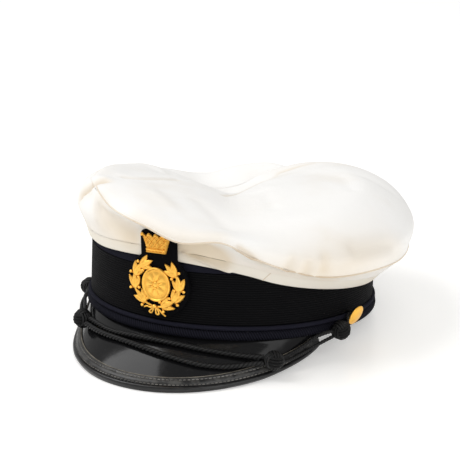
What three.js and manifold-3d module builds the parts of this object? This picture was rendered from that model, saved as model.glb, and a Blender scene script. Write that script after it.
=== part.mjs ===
// Peaked cap: a soft white crown cover over a ribbed dark band, a glossy peak with a bound edge, a gilt
// badge on a cloth patch, and a twisted chin cord between two gilt buttons.
// Millimetres, +Z up. The front of the cap is towards -Y and the wearer's left towards +X. The cap is built
// level, round the middle of its lower rim, and then tipped back on to the front of the peak and the back
// of the welt, as it lies on a table.
import * as THREE from 'three';
import Module from 'manifold-3d';
import { ConvexGeometry } from 'three/addons/geometries/ConvexGeometry.js';
import { mergeVertices } from 'three/addons/utils/BufferGeometryUtils.js';

const wasm = await Module();
wasm.setup();

// Driving dimensions
const GAP = 0.3;
const JOIN_TOLERANCE = 0.02;
const OVAL = { halfWidth: 92, halfLength: 98, steps: 44 };
const REST = { tilt: 6.9, x: -6.2, y: 8.9, z: 11.6 };
const BAND = { wall: 2, low: 9.2, high: 41.2 };
const BODY = { inset: 0.5, wall: 1.8, high: 53 };
const PIPING = { radius: 1.4, out: 0.4, height: 7.5 };
const ROLL = { inner: -2, outer: 2.3, height: 5.8 };
const PEAK = {
  thickness: 2, reach: 30.2, drop: 26.1, halfAngle: 68, reachPower: 1.95, dropPower: 0.484,
  seat: -1.2, seatHeight: -1.5, swell: 1.6, edgeInset: 1.2, end: 0.965, steps: 28, bands: 6,
};
const BINDING = { width: 7.6, under: 6.5, endSpare: 1.6 };
const COVER = { wall: 1.8, out: 2.2, hemWidth: 7, hemLean: 0.85, crest: 0.75, waves: 5 };
const PATCH = {
  thickness: 1.6, low: 10.2, lean: 0.066, foot: 0.4, radius: 21.2, neckHalf: 12.2, shoulder: 0.5, high: 65.4,
};
const BADGE = { shift: 2.8, turn: -3, bend: 170 };
const WREATH = { height: 31.9, radius: 15.2, stem: 0.8, berry: 1, start: -84, end: 38 };
const MEDALLION = { halfWidth: 9.9, halfHeight: 10.9, sides: 24 };
const CORONET = { low: 51.2, band: 3.2, valley: 60.4, high: 63.2, baseHalf: 6.4, topHalf: 10, ball: 1.2 };
const BUTTON = { radius: 6.7, out: 6.8, height: 8.8, droop: 21.6, shank: 1.3, shankLength: 6.2, sides: 18 };
const BUTTON_DOME = [[0.94, -0.5], [1, 0], [0.97, 0.5], [0.8, 1.1], [0.45, 1.7], [0.1, 1.9]];
const BUTTON_ANGLES = { left: -86, right: 81.5 };
const KNOT = { radius: 6, sides: 12, rings: 6 };
const CORD = { rope: 3.4, loop: 2.4, sides: 8, step: 2.6 };

// Sections of the crown cover, a row for each direction: angle 0 is the front and 90 the wearer's left.
// hem is the height of the lower edge, side a point half way up the side panel and rim the seam round the
// top panel, both out from the band and up. turn is the step from the rim, inwards and up, to where the top
// panel turns over, and crest the height of the top panel a quarter of the way to the middle.
const SECTION_COLUMNS = ['angle', 'hem', 'sideOut', 'side', 'rimOut', 'rim', 'turnIn', 'turnUp', 'crest'];
const SECTIONS = [
  [-165, 33, 8, 73, -1, 68, 5, 2, 67],
  [-150, 36, 8, 70, -16, 60, 6, 1, 62],
  [-135, 38, 9, 63, -17, 59, 6, 1, 61],
  [-120, 41, 9, 68, -8, 66, 5, 2, 66.5],
  [-105, 43, 10, 72, -2, 73.5, 5, 3, 72.5],
  [-85, 45, 11, 74, -1, 78.5, 5, 3, 78],
  [-60, 45.5, 11, 69, -3, 84, 4, 2, 82],
  [-45, 45.5, 9, 67, 2, 82, 4, 2, 83],
  [-30, 45.5, 6, 66, 5, 80, 4, 3, 83],
  [-15, 47, 3.4, 66, 11, 75, 4, 4, 81],
  [0, 48, 3.2, 68, 15, 70, 3, 5, 78],
  [13, 47.2, 3.4, 67, 18, 63.4, 2, 6, 74],
  [26, 44.5, 8, 58, 18, 65, 3, 4, 69],
  [36, 41, 8, 51, 17, 56, 1, 8, 68],
  [46, 36, 8, 46, 16, 48.5, -1, 11, 70],
  [60, 31, 12, 40, 18, 42, -2, 13, 72],
  [80, 26, 14, 37, 20, 41, -2, 14, 74],
  [100, 23, 16, 36, 22, 42, -2, 15, 77],
  [120, 23, 15.5, 39, 21, 48, -2, 14, 80],
  [140, 25, 12, 47, 17, 60, 0, 13, 82],
  [160, 28, 10, 56, 12, 70, 3, 9, 81],
  [178, 31, 9, 65, 6, 75, 5, 3, 74],
].map((row) => Object.fromEntries(SECTION_COLUMNS.map((column, i) => [column, row[i]])));

// Swells and dents of the top panel: middle, half length and half width, turn of the length, and rise
const SWELLS = [
  { name: 'valley', x: -4, y: 6, long: 80, wide: 20, turn: -60, rise: -7 },
  { name: 'right swell', x: 50, y: 20, long: 40, wide: 36, turn: 0, rise: 3 },
];

// Leaves of each cluster of the wreath, measured from the run of its stem
const LEAF_CLUSTERS = [-68, -32, 3, 36];
const LEAVES = [
  { lean: 44, length: 8, width: 4.8 },
  { lean: 3, length: 9, width: 4.6 },
  { lean: -36, length: 5.6, width: 3.4 },
];
const BERRY_STALK = { lean: 70, length: 3.6, width: 1, after: 16 };
const BOW = [
  { direction: 197, length: 7.4, width: 3.4 },
  { direction: -17, length: 7.4, width: 3.4 },
  { direction: 230, length: 5.8, width: 1.8 },
  { direction: -50, length: 5.8, width: 1.8 },
];

// Chin cord: the middles of its knots, and the routes of the strands between them
const KNOTS = {
  knot_left_slide: [-59, -89.5, -3.3],
  knot_right_slide: [74.3, -79.9, -8.9],
  knot_left_button: [-98.2, -23.9, -3],
  knot_right_button: [95.9, -32.7, 2.8],
};
const ROPES = {
  rope_upper: [
    [-52.6, -91, -2.3], [-49, -92.7, -2.5], [-43.5, -95.3, -2.9], [-35, -99.1, -3.5], [-25.9, -102, -3.5],
    [-15.9, -103.6, -2.8], [-2.9, -104.4, -2.4], [7.6, -104.1, -2.4], [19.9, -102.6, -2.8],
    [33.4, -99.7, -3.9], [44, -95.6, -5], [52, -91.6, -6], [58.4, -88, -6.7], [64.9, -84.3, -7],
    [68.4, -82.2, -7.1],
  ],
  rope_lower: [
    [-54, -93.5, -4.9], [-50.4, -95.2, -5.1], [-45.6, -97.8, -5.4], [-41.5, -100, -5.4],
    [-33.3, -103.2, -5.6], [-19.6, -106.9, -5.6], [-9.3, -109.1, -5.8], [0.6, -110.6, -6.4],
    [10.2, -111.3, -7.4], [19.2, -111, -8.5], [32.1, -108.8, -10.3], [40.1, -105.9, -11.3],
    [49.7, -100.3, -12], [56, -95.2, -11.7], [61, -90.8, -11.1], [65.9, -86.4, -10.5], [69.3, -84, -10.4],
  ],
};
const LOOPS = {
  loop_left_front: [
    [-63.5, -84.8, -3.7], [-65.1, -82.3, -3.5], [-70, -75.2, -3.2], [-74.6, -68.3, -3], [-79, -61, -2.9],
    [-83.4, -53, -3.2], [-87.6, -44.8, -3.8], [-91, -38, -4.8], [-94.1, -32, -5.4], [-95.4, -29.4, -5.1],
  ],
  loop_left_back: [
    [-61.5, -83.7, -1.9], [-63.2, -81.2, -1.6], [-68.2, -73.8, -0.9], [-73, -66.6, -0.6], [-78, -59.5, -0.4],
    [-83, -51.6, -0.7], [-87, -43.4, -1.2], [-90.6, -37.4, -2], [-93.9, -32.3, -2.5], [-95.3, -29.7, -2.3],
  ],
  loop_right_front: [
    [76.9, -74.2, -10.5], [77.7, -71.3, -10.8], [79.2, -65.6, -10.4], [81.1, -60, -9.1], [83.2, -54.5, -7.6],
    [85.3, -49.6, -6], [87.6, -45.4, -4.3], [89.6, -42.5, -2.9], [91.4, -39.8, -1.7], [92.9, -37.4, -0.7],
  ],
  loop_right_back: [
    [75.6, -73.6, -8], [76.4, -70.7, -8.2], [77.4, -66.5, -7.9], [79.2, -61, -6.7], [81.3, -55.5, -5.2],
    [83.4, -50.6, -3.4], [85.9, -46.4, -1.4], [88.6, -43.3, 0.1], [91, -40.6, 1.1], [92.4, -38.2, 2.1],
  ],
  eye_left: [
    [-98.5, -19.1, 1.2], [-98.6, -16.9, 3.2], [-97, -15.2, 6.2], [-95, -13.2, 8.5], [-94.8, -11, 9.4],
    [-95.7, -9.2, 9.7],
  ],
  eye_right: [
    [96.5, -27, 5.5], [96.4, -24.7, 6.6], [94.6, -21.8, 8.4], [94.1, -19.2, 9.4], [94.8, -17.1, 9.7],
  ],
};

const cloth = (color, roughness = 0.9) => new THREE.MeshStandardMaterial({ color, roughness, metalness: 0 });
const gilt = () => new THREE.MeshStandardMaterial({ color: 0xd9a036, roughness: 0.35, metalness: 1 });
const cap = new THREE.Group();

function addPiece(name, geometry, material) {
  const mesh = new THREE.Mesh(geometry, material);
  mesh.name = name;
  cap.add(mesh);
  return mesh;
}

// Point at an angle round the band, out from its face and up from the lower rim
function onOval(angle, out, height) {
  const turn = THREE.MathUtils.degToRad(angle);
  const face = new THREE.Vector2(Math.sin(turn) / OVAL.halfWidth, -Math.cos(turn) / OVAL.halfLength);
  face.normalize().multiplyScalar(out);
  const x = OVAL.halfWidth * Math.sin(turn) + face.x;
  const y = -OVAL.halfLength * Math.cos(turn) + face.y;
  return new THREE.Vector3(x, y, height);
}

// Geometry of a closed body with its faces pointing out
function closedBody(points, index) {
  let volume = 0;
  for (let i = 0; i < index.length; i += 3) {
    const [a, b, c] = [points[index[i]], points[index[i + 1]], points[index[i + 2]]];
    volume += a.dot(new THREE.Vector3().crossVectors(b, c));
  }
  if (volume < 0) index.reverse();
  const geometry = new THREE.BufferGeometry();
  geometry.setFromPoints(points);
  geometry.setIndex(index);
  return geometry;
}

// Triangles that fill a loop, in the loop's own direction
function fillLoop(loop) {
  const facing = new THREE.Vector3();
  loop.forEach((point, i) => {
    facing.add(new THREE.Vector3().crossVectors(point, loop[(i + 1) % loop.length]));
  });
  const level = new THREE.Quaternion().setFromUnitVectors(facing.normalize(), new THREE.Vector3(0, 0, 1));
  const flat = loop.map((point) => {
    const turned = point.clone().applyQuaternion(level);
    return new THREE.Vector2(turned.x, turned.y);
  });
  return THREE.ShapeUtils.triangulateShape(flat, []).map(([a, b, c]) => {
    const area = THREE.ShapeUtils.area([flat[a], flat[b], flat[c]]);
    return area > 0 ? [a, b, c] : [a, c, b];
  });
}

// Solid through a row of loops of equal length, joined end to end or filled at both ends
function loft(loops, joined) {
  const count = loops[0].length;
  const index = [];
  const spans = joined ? loops.length : loops.length - 1;
  for (let i = 0; i < spans; i++) {
    const here = i * count;
    const next = ((i + 1) % loops.length) * count;
    for (let j = 0; j < count; j++) {
      const k = (j + 1) % count;
      index.push(here + j, here + k, next + k, here + j, next + k, next + j);
    }
  }
  if (!joined) {
    const end = (loops.length - 1) * count;
    fillLoop(loops[0]).forEach(([a, b, c]) => index.push(a, c, b));
    fillLoop(loops[loops.length - 1]).forEach(([a, b, c]) => index.push(end + a, end + b, end + c));
  }
  return closedBody(loops.flat(), index);
}

const roundAngles = Array.from({ length: OVAL.steps }, (_, i) => -180 + (360 * i) / OVAL.steps);

// Ring round the head; sectionAt gives the closed section at an angle as [out, height] pairs
function ring(sectionAt) {
  const loops = roundAngles.map((angle) => sectionAt(angle).map(([out, up]) => onOval(angle, out, up)));
  return loft(loops, true);
}

// Solid of a geometry, for joins and cuts
function solidOf(geometry) {
  const bare = geometry.clone();
  bare.deleteAttribute('normal');
  bare.deleteAttribute('uv');
  const merged = mergeVertices(bare, 1e-4);
  const mesh = new wasm.Mesh({
    numProp: 3,
    vertProperties: new Float32Array(merged.attributes.position.array),
    triVerts: new Uint32Array(merged.index.array),
  });
  return new wasm.Manifold(mesh);
}

function geometryOf(solid) {
  const mesh = solid.getMesh();
  const geometry = new THREE.BufferGeometry();
  geometry.setAttribute('position', new THREE.Float32BufferAttribute(mesh.vertProperties, 3));
  geometry.setIndex(Array.from(mesh.triVerts));
  return geometry;
}

// Turned solid: a ring of points for each [radius, height] of its profile, set in place by a function
function turned(profile, sides, place) {
  return loft(profile.map(([radius, height]) => Array.from({ length: sides }, (_, i) => {
    const turn = (2 * Math.PI * i) / sides;
    return place(radius * Math.cos(turn), radius * Math.sin(turn), height);
  })), false);
}

// Places points round an axis through a middle
function roundAxis(middle, axis) {
  const turn = new THREE.Quaternion().setFromUnitVectors(new THREE.Vector3(0, 0, 1), axis);
  return (x, y, height) => new THREE.Vector3(x, y, height).applyQuaternion(turn).add(middle);
}

// Join of many solids, without the slivers that crossing faces leave
function joinAll(geometries) {
  const joined = geometries.map(solidOf).reduce((sum, solid) => sum.add(solid));
  return geometryOf(joined.simplify(JOIN_TOLERANCE));
}

// The table under the tipped cap, as a slab in the level cap's own frame
function tableSlab() {
  const slab = new THREE.BoxGeometry(400, 400, 40);
  slab.translate(0, 0, -REST.z - 20);
  slab.rotateX(THREE.MathUtils.degToRad(REST.tilt));
  return solidOf(slab);
}

const pressOnTable = (geometry) => geometryOf(solidOf(geometry).subtract(tableSlab()));

// Band, the cloth above it and the welt below it
addPiece('band', ring(() => [
  [-BAND.wall, BAND.low], [0, BAND.low], [0, BAND.high], [-BAND.wall, BAND.high],
]), cloth(0x0c0d12));

const bodyBack = -BODY.inset - BODY.wall;
addPiece('body_cloth', ring(() => [
  [bodyBack, BAND.high + GAP], [-BODY.inset, BAND.high + GAP],
  [-BODY.inset, BODY.high], [bodyBack, BODY.high],
]), cloth(0x15172a));

function pipingSection() {
  const sides = 6;
  return Array.from({ length: sides }, (_, i) => {
    const turn = (2 * Math.PI * i) / sides;
    return [PIPING.out + PIPING.radius * Math.cos(turn), PIPING.height + PIPING.radius * Math.sin(turn)];
  });
}
addPiece('welt_piping', ring(pipingSection), cloth(0x1b1d33));

const rollSection = [
  [ROLL.inner, 0.4], [0.2, 0], [1.6, 0.7], [ROLL.outer, 2.6], [1.7, 4.6], [0.4, ROLL.height],
  [ROLL.inner, ROLL.height],
];
addPiece('welt_roll', pressOnTable(ring(() => rollSection)), cloth(0x14162a));

// Peak: a bent sheet. across runs from -1 to 1 between its ends, along from 0 at the seat to 1 at the edge
function peakSpan(across) {
  const fullness = Math.cos((Math.PI / 2) * across);
  const reach = PEAK.reach * fullness ** PEAK.reachPower;
  const drop = PEAK.drop * fullness ** PEAK.dropPower;
  const length = Math.hypot(reach - PEAK.seat, drop + PEAK.seatHeight);
  return { fullness, reach, drop, length };
}

function peakPoint(across, along) {
  const { fullness, reach, drop, length } = peakSpan(across);
  const run = reach - PEAK.seat;
  const fall = -drop - PEAK.seatHeight;
  const swell = (PEAK.swell * fullness * Math.sin(Math.PI * along)) / length;
  const out = PEAK.seat + run * along - fall * swell;
  const height = PEAK.seatHeight + fall * along + run * swell;
  return onOval(across * PEAK.halfAngle, out, height);
}

function peakNormal(across, along) {
  const step = 0.002;
  const sideways = peakPoint(across + step, along).sub(peakPoint(across - step, along));
  const outwards = peakPoint(across, along + step).sub(peakPoint(across, along - step));
  return sideways.cross(outwards).normalize().negate();
}

// Point a distance in from the edge of the peak and a height off its middle surface
function offPeak(across, inset, lift) {
  const along = 1 - inset / peakSpan(across).length;
  return peakPoint(across, along).addScaledVector(peakNormal(across, Math.min(along, 1)), lift);
}

const peakAcross = Array.from({ length: PEAK.steps + 1 }, (_, i) => PEAK.end * ((2 * i) / PEAK.steps - 1));

function peakLoop(across) {
  const half = PEAK.thickness / 2;
  const { length } = peakSpan(across);
  const insets = Array.from({ length: PEAK.bands + 1 }, (_, i) => (
    THREE.MathUtils.lerp(length, PEAK.edgeInset, i / PEAK.bands)));
  const upper = insets.map((inset) => offPeak(across, inset, half));
  const lower = insets.map((inset) => offPeak(across, inset, -half));
  return [...upper, ...lower.reverse()];
}
addPiece('peak', loft(peakAcross.map(peakLoop), false), cloth(0x1a1a1d, 0.2));

function bindingLoop(across) {
  const room = peakSpan(across).length - BINDING.endSpare;
  const top = Math.min(BINDING.width, room);
  const under = Math.min(BINDING.under, room);
  const inside = PEAK.thickness / 2 + GAP;
  const section = [
    [top, inside], [top, inside + 0.9], [2.4, inside + 1.1], [0.6, inside + 1.5], [-0.9, inside + 0.9],
    [-1.6, 0], [-0.9, -inside - 0.9], [0.8, -inside - 1.2], [under, -inside - 0.9], [under, -inside],
    [0.5, -inside], [0.5, inside],
  ];
  return section.map(([inset, lift]) => offPeak(across, inset, lift));
}
addPiece('peak_binding', pressOnTable(loft(peakAcross.map(bindingLoop), false)), cloth(0x17171a, 0.4));

// Crown cover: values of the section table at any angle, on a smooth curve round the head
function sectionAt(angle) {
  const count = SECTIONS.length;
  const wrapped = THREE.MathUtils.euclideanModulo(angle - SECTIONS[0].angle, 360) + SECTIONS[0].angle;
  const row = SECTIONS.findLastIndex((section) => section.angle <= wrapped);
  const at = (k) => {
    const turns = Math.floor((row + k) / count);
    const section = SECTIONS[THREE.MathUtils.euclideanModulo(row + k, count)];
    return { ...section, angle: section.angle + 360 * turns };
  };
  const [before, from, to, after] = [at(-1), at(0), at(1), at(2)];
  const span = to.angle - from.angle;
  const t = (wrapped - from.angle) / span;
  const blend = (column) => {
    const leave = ((to[column] - before[column]) / (to.angle - before.angle)) * span;
    const arrive = ((after[column] - from[column]) / (after.angle - from.angle)) * span;
    const [t2, t3] = [t * t, t * t * t];
    return (2 * t3 - 3 * t2 + 1) * from[column] + (t3 - 2 * t2 + t) * leave
      + (3 * t2 - 2 * t3) * to[column] + (t3 - t2) * arrive;
  };
  return Object.fromEntries(Object.keys(from).map((column) => [column, blend(column)]));
}

const SIDE_STOPS = [0, 0.25, 0.5, 0.75, 1];
const TOP_SHARES = [0.75, 0.57, 0.4, 0.22, 0.05];
const TOP_STOPS = [0, 0.08, 0.166, 0.25, 0.333, 0.416, 0.5, 0.666, 0.833, 1];

// The top panel hangs inside its crest line as a stretched cloth does: each wave of the crest line round the
// head fades towards the middle with its own power of the distance
const crestWaves = Array.from({ length: COVER.waves + 1 }, (_, k) => {
  const share = (k ? 2 : 1) / roundAngles.length;
  return roundAngles.reduce((sum, angle) => {
    const turn = THREE.MathUtils.degToRad(angle * k);
    const { crest } = sectionAt(angle);
    return { cos: sum.cos + share * crest * Math.cos(turn), sin: sum.sin + share * crest * Math.sin(turn) };
  }, { cos: 0, sin: 0 });
});

function topHeight(angle, share, x, y) {
  const hung = crestWaves.reduce((sum, wave, k) => {
    const turn = THREE.MathUtils.degToRad(angle * k);
    return sum + (share / COVER.crest) ** k * (wave.cos * Math.cos(turn) + wave.sin * Math.sin(turn));
  }, 0);
  return SWELLS.reduce((sum, swell) => {
    const turn = THREE.MathUtils.degToRad(swell.turn);
    const [dx, dy] = [x - swell.x, y - swell.y];
    const along = (dx * Math.cos(turn) + dy * Math.sin(turn)) / swell.long;
    const across = (dy * Math.cos(turn) - dx * Math.sin(turn)) / swell.wide;
    return sum + swell.rise * Math.exp(-along * along - across * across);
  }, hung);
}

// How far the hem leans out at its top, most of the way towards the side panel above it
function hemLean({ hem, sideOut, side }) {
  return (COVER.hemLean * (sideOut - COVER.out) * COVER.hemWidth) / (side - hem);
}

// Curves of the cover at an angle: the side panel up to the rim, and the top panel from the rim inwards
function coverCurves(angle) {
  const s = sectionAt(angle);
  const hemTop = onOval(angle, COVER.out + hemLean(s), s.hem + COVER.hemWidth + GAP);
  const side = onOval(angle, s.sideOut, s.side);
  const rim = onOval(angle, s.rimOut, s.rim);
  const turn = onOval(angle, s.rimOut - s.turnIn, s.rim + s.turnUp);
  const inwards = TOP_SHARES.map((share) => {
    const point = rim.clone().multiplyScalar(share);
    return point.setZ(topHeight(angle, share, point.x, point.y));
  });
  return {
    side: new THREE.CatmullRomCurve3([hemTop, side, rim], false, 'centripetal'),
    top: new THREE.CatmullRomCurve3([rim, turn, ...inwards], false, 'centripetal'),
  };
}

const curves = roundAngles.map(coverCurves);

// Normals of a grid of points, rows round the head and columns along each row's curve
function gridNormals(grid) {
  const rows = grid.length;
  return grid.map((row, i) => row.map((_, j) => {
    const along = row[Math.min(j + 1, row.length - 1)].clone().sub(row[Math.max(j - 1, 0)]);
    const round = grid[(i + 1) % rows][j].clone().sub(grid[(i + rows - 1) % rows][j]);
    return round.cross(along).normalize();
  }));
}

const sideGrid = curves.map((curve) => SIDE_STOPS.map((stop) => curve.side.getPoint(stop)));
const topGrid = curves.map((curve) => TOP_STOPS.map((stop) => curve.top.getPoint(stop)));

// Inner corner of the rim seam and the two directions that leave it, for mitred edges
function rimMitre(i) {
  const down = sideGrid[i].at(-2).clone().sub(sideGrid[i].at(-1)).normalize();
  const inwards = topGrid[i][1].clone().sub(topGrid[i][0]).normalize();
  const middle = down.clone().add(inwards).normalize();
  const half = middle.angleTo(inwards);
  const corner = topGrid[i][0].clone().addScaledVector(middle, COVER.wall / Math.sin(Math.max(half, 0.5)));
  const step = GAP * (0.5 + 0.5 / Math.sin(half));
  return { down, inwards, corner, step };
}

// Wall of a grid: its outer face, and an inner face a wall's thickness under it
function wallLoops(grid, mitreColumn, direction) {
  const normals = gridNormals(grid);
  return grid.map((row, i) => {
    const inner = row.map((point, j) => point.clone().addScaledVector(normals[i][j], -COVER.wall));
    const outer = row.map((point) => point.clone());
    const mitre = rimMitre(i);
    inner[mitreColumn] = mitre.corner.clone();
    [inner, outer].forEach((face) => face[mitreColumn].addScaledVector(mitre[direction], mitre.step));
    return [...outer, ...inner.reverse()];
  });
}

addPiece('crown_hem', ring((angle) => {
  const section = sectionAt(angle);
  const [low, high] = [section.hem, section.hem + COVER.hemWidth];
  const [back, lean] = [COVER.out - COVER.wall, hemLean(section)];
  return [[back, low], [COVER.out, low], [COVER.out + lean, high], [back + lean, high]];
}), cloth(0xf0ead9));

addPiece('crown_side', loft(wallLoops(sideGrid, SIDE_STOPS.length - 1, 'down'), true), cloth(0xf6f4ee));

// The top panel's loops run round the head instead, from the middle of its inner face to that of its outer
const topLoops = wallLoops(topGrid, 0, 'inwards');
const topRounds = topLoops[0].map((_, j) => topLoops.map((loop) => loop[j]));
const rimAt = TOP_STOPS.length;
const topFromMiddle = [...topRounds.slice(rimAt), ...topRounds.slice(0, rimAt)];
addPiece('crown_top', loft(topFromMiddle, false), cloth(0xf8f6f0));

// Badge: it sits a little to one side and turned, so its own sideways and up become a place on the cap
function badgePlace(sideways, height) {
  const turn = THREE.MathUtils.degToRad(BADGE.turn);
  const up = height - WREATH.height;
  return {
    x: BADGE.shift + sideways * Math.cos(turn) - up * Math.sin(turn),
    z: WREATH.height + sideways * Math.sin(turn) + up * Math.cos(turn),
  };
}

const patchFoot = (z) => PATCH.foot + PATCH.lean * (z - PATCH.low);

// Point off the face of the patch, which bends less than the band behind it
function onFront(sideways, height, off) {
  const { x, z } = badgePlace(sideways, height);
  const out = patchFoot(z) + PATCH.thickness + off;
  return new THREE.Vector3(x, x * x / (2 * BADGE.bend) - OVAL.halfLength - out, z);
}

// Point on the back of the patch, which follows the band
function onPatchBack(sideways, height) {
  const { x, z } = badgePlace(sideways, height);
  return onOval(THREE.MathUtils.radToDeg(Math.asin(x / OVAL.halfWidth)), patchFoot(z), z);
}

const patchMiddle = PATCH.low + PATCH.radius;
const patchColumns = [-82, -60, -40, -20, 0, 20, 40, 60, 82]
  .map((turn) => PATCH.radius * Math.sin(THREE.MathUtils.degToRad(turn)))
  .concat([-1, 1].flatMap((way) => [way * PATCH.neckHalf, way * (PATCH.neckHalf + PATCH.shoulder)]))
  .sort((a, b) => a - b);

function patchLoop(sideways) {
  const rise = Math.sqrt(PATCH.radius ** 2 - sideways ** 2);
  const top = Math.abs(sideways) > PATCH.neckHalf ? patchMiddle + rise : PATCH.high;
  const bottom = patchMiddle - rise;
  return [
    onFront(sideways, bottom, 0), onFront(sideways, top, 0),
    onPatchBack(sideways, top), onPatchBack(sideways, bottom),
  ];
}
addPiece('badge_patch', loft(patchColumns.map(patchLoop), false), cloth(0x0a0a0d));

const medallionProfile = [
  [0.35, GAP], [1, GAP], [1, 1.3], [0.97, 1.8], [0.9, 1.7], [0.86, 1.1], [0.6, 1.4], [0.3, 1.7],
];
addPiece('badge_medallion', turned(medallionProfile, MEDALLION.sides, (x, y, off) => onFront(
  x * MEDALLION.halfWidth, WREATH.height + y * MEDALLION.halfHeight, off,
)), gilt());

const runOf = (direction, length) => new THREE.Vector2(length, 0)
  .rotateAround(new THREE.Vector2(), THREE.MathUtils.degToRad(direction));

// Ridged blade from a foot in a direction: a leaf, a berry's stalk, or a loop or tail of the bow
function blade(foot, direction, length, width) {
  const run = runOf(direction, length);
  const side = new THREE.Vector2(-run.y, run.x).setLength(width / 2);
  const at = (along, across, off) => onFront(
    foot.x + along * run.x + across * side.x, foot.y + along * run.y + across * side.y, off,
  );
  return new ConvexGeometry([
    at(-0.08, 0, GAP), at(0.45, 1, GAP), at(1, 0, GAP), at(0.45, -1, GAP),
    at(-0.08, 0, 1.4), at(0.45, 1, 1), at(1, 0, 1.1), at(0.45, -1, 1), at(0.4, 0, 2.1),
  ]);
}

function berry(foot, radius) {
  const ball = new THREE.IcosahedronGeometry(radius, 0);
  const middle = onFront(foot.x, foot.y, GAP + radius);
  return ball.translate(middle.x, middle.y, middle.z);
}

// Point of the wreath's stem on one side, and the direction in which the stem runs there
function onStem(turn, way) {
  const angle = THREE.MathUtils.degToRad(turn);
  const x = way * WREATH.radius * Math.cos(angle);
  const foot = new THREE.Vector2(x, WREATH.height + WREATH.radius * Math.sin(angle));
  return { foot, run: way > 0 ? turn + 90 : 90 - turn };
}

function stem(way) {
  const count = 9;
  return loft(Array.from({ length: count }, (_, i) => {
    const turn = THREE.MathUtils.lerp(WREATH.start, WREATH.end, i / (count - 1));
    const { foot, run } = onStem(turn, way);
    const side = runOf(run + 90, WREATH.stem);
    return [[-1, GAP], [1, GAP], [0, GAP + 1.3]]
      .map(([across, off]) => onFront(foot.x + across * side.x, foot.y + across * side.y, off));
  }), false);
}

function branch(way) {
  const pieces = [stem(way)];
  LEAF_CLUSTERS.forEach((cluster) => {
    LEAVES.forEach((leaf) => {
      const { foot, run } = onStem(cluster, way);
      pieces.push(blade(foot, run - way * leaf.lean, leaf.length, leaf.width));
    });
    const { foot, run } = onStem(Math.min(cluster + BERRY_STALK.after, WREATH.end), way);
    const direction = run - way * BERRY_STALK.lean;
    pieces.push(blade(foot, direction, BERRY_STALK.length, BERRY_STALK.width));
    pieces.push(berry(runOf(direction, BERRY_STALK.length).add(foot), WREATH.berry));
  });
  return pieces;
}

const bowFoot = new THREE.Vector2(0, WREATH.height - WREATH.radius);
addPiece('badge_wreath', joinAll([
  ...branch(-1), ...branch(1),
  ...BOW.map(({ direction, length, width }) => blade(bowFoot, direction, length, width)),
  berry(bowFoot, 1.8 * WREATH.berry),
]), gilt());

// Coronet: a flared plate with a thicker band at its foot, and a ball on each of its points
const isPoint = (step) => step % 2 === 0;

function coronetLoop(step) {
  const share = step / 4;
  const bandHalf = THREE.MathUtils.lerp(CORONET.baseHalf, CORONET.topHalf, 0.25);
  const top = isPoint(step) ? CORONET.high : CORONET.valley;
  const band = CORONET.low + CORONET.band;
  const plate = GAP + 1.2;
  return [
    [CORONET.baseHalf, CORONET.low, GAP], [CORONET.baseHalf, CORONET.low, plate + 0.8],
    [bandHalf, band, plate + 0.8], [bandHalf, band + 0.5, plate],
    [CORONET.topHalf, top, plate - 0.2], [CORONET.topHalf, top, GAP],
  ].map(([half, height, off]) => onFront(share * half, height, off));
}
const coronetSteps = [-4, -3, -2, -1, 0, 1, 2, 3, 4];
addPiece('badge_coronet', joinAll([
  loft(coronetSteps.map(coronetLoop), false),
  ...coronetSteps.filter(isPoint)
    .map((step) => berry(new THREE.Vector2((step / 4) * CORONET.topHalf, CORONET.high), CORONET.ball)),
]), gilt());

// Buttons of the chin cord, domed discs that droop on a shank
Object.entries(BUTTON_ANGLES).forEach(([side, angle]) => {
  const middle = onOval(angle, BUTTON.out, BUTTON.height);
  const outwards = middle.clone().sub(onOval(angle, 0, BUTTON.height)).normalize();
  const droop = THREE.MathUtils.degToRad(BUTTON.droop);
  const axis = outwards.multiplyScalar(Math.cos(droop)).setZ(-Math.sin(droop));
  const profile = [
    [BUTTON.shank, -BUTTON.shankLength], [BUTTON.shank, -0.5],
    ...BUTTON_DOME.map(([share, height]) => [share * BUTTON.radius, height]),
  ];
  addPiece(`button_${side}`, turned(profile, BUTTON.sides, roundAxis(middle, axis)), gilt());
});

// Chin cord
Object.entries(KNOTS).forEach(([name, middle]) => {
  const ball = new THREE.SphereGeometry(KNOT.radius, KNOT.sides, KNOT.rings);
  addPiece(name, ball.translate(...middle), cloth(0x0b0b0d, 0.6));
});

function strand(route, diameter) {
  const points = route.map((point) => new THREE.Vector3(...point));
  const path = new THREE.CatmullRomCurve3(points, false, 'centripetal');
  const section = new THREE.Shape(Array.from({ length: CORD.sides }, (_, i) => {
    const turn = (2 * Math.PI * i) / CORD.sides;
    return new THREE.Vector2(diameter * 0.5 * Math.cos(turn), diameter * 0.5 * Math.sin(turn));
  }));
  const steps = Math.ceil(path.getLength() / (CORD.step * diameter));
  return new THREE.ExtrudeGeometry(section, { steps, extrudePath: path, bevelEnabled: false });
}
Object.entries(ROPES).forEach(([name, route]) => {
  addPiece(name, strand(route, CORD.rope), cloth(0x0b0b0d, 0.6));
});
Object.entries(LOOPS).forEach(([name, route]) => {
  addPiece(name, strand(route, CORD.loop), cloth(0x0b0b0d, 0.6));
});

// Tip the cap back to rest on its peak and welt
cap.rotation.x = -THREE.MathUtils.degToRad(REST.tilt);
cap.position.set(REST.x, REST.y, REST.z);

const part = new THREE.Group();
part.add(cap);

export default part;
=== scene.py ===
"""Looks of a peaked cap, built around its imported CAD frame.

Sizes are in millimetres in the cap's own frame: +Z up from the lower rim, the peak towards -Y. CapPose tips
that frame back on to the table and turns it into Blender's metres.
"""

from __future__ import annotations

import logging
import math
from dataclasses import astuple, dataclass, field
from enum import Enum
from typing import Any, Callable, Sequence

import bpy
from mathutils import Matrix, Vector

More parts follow.
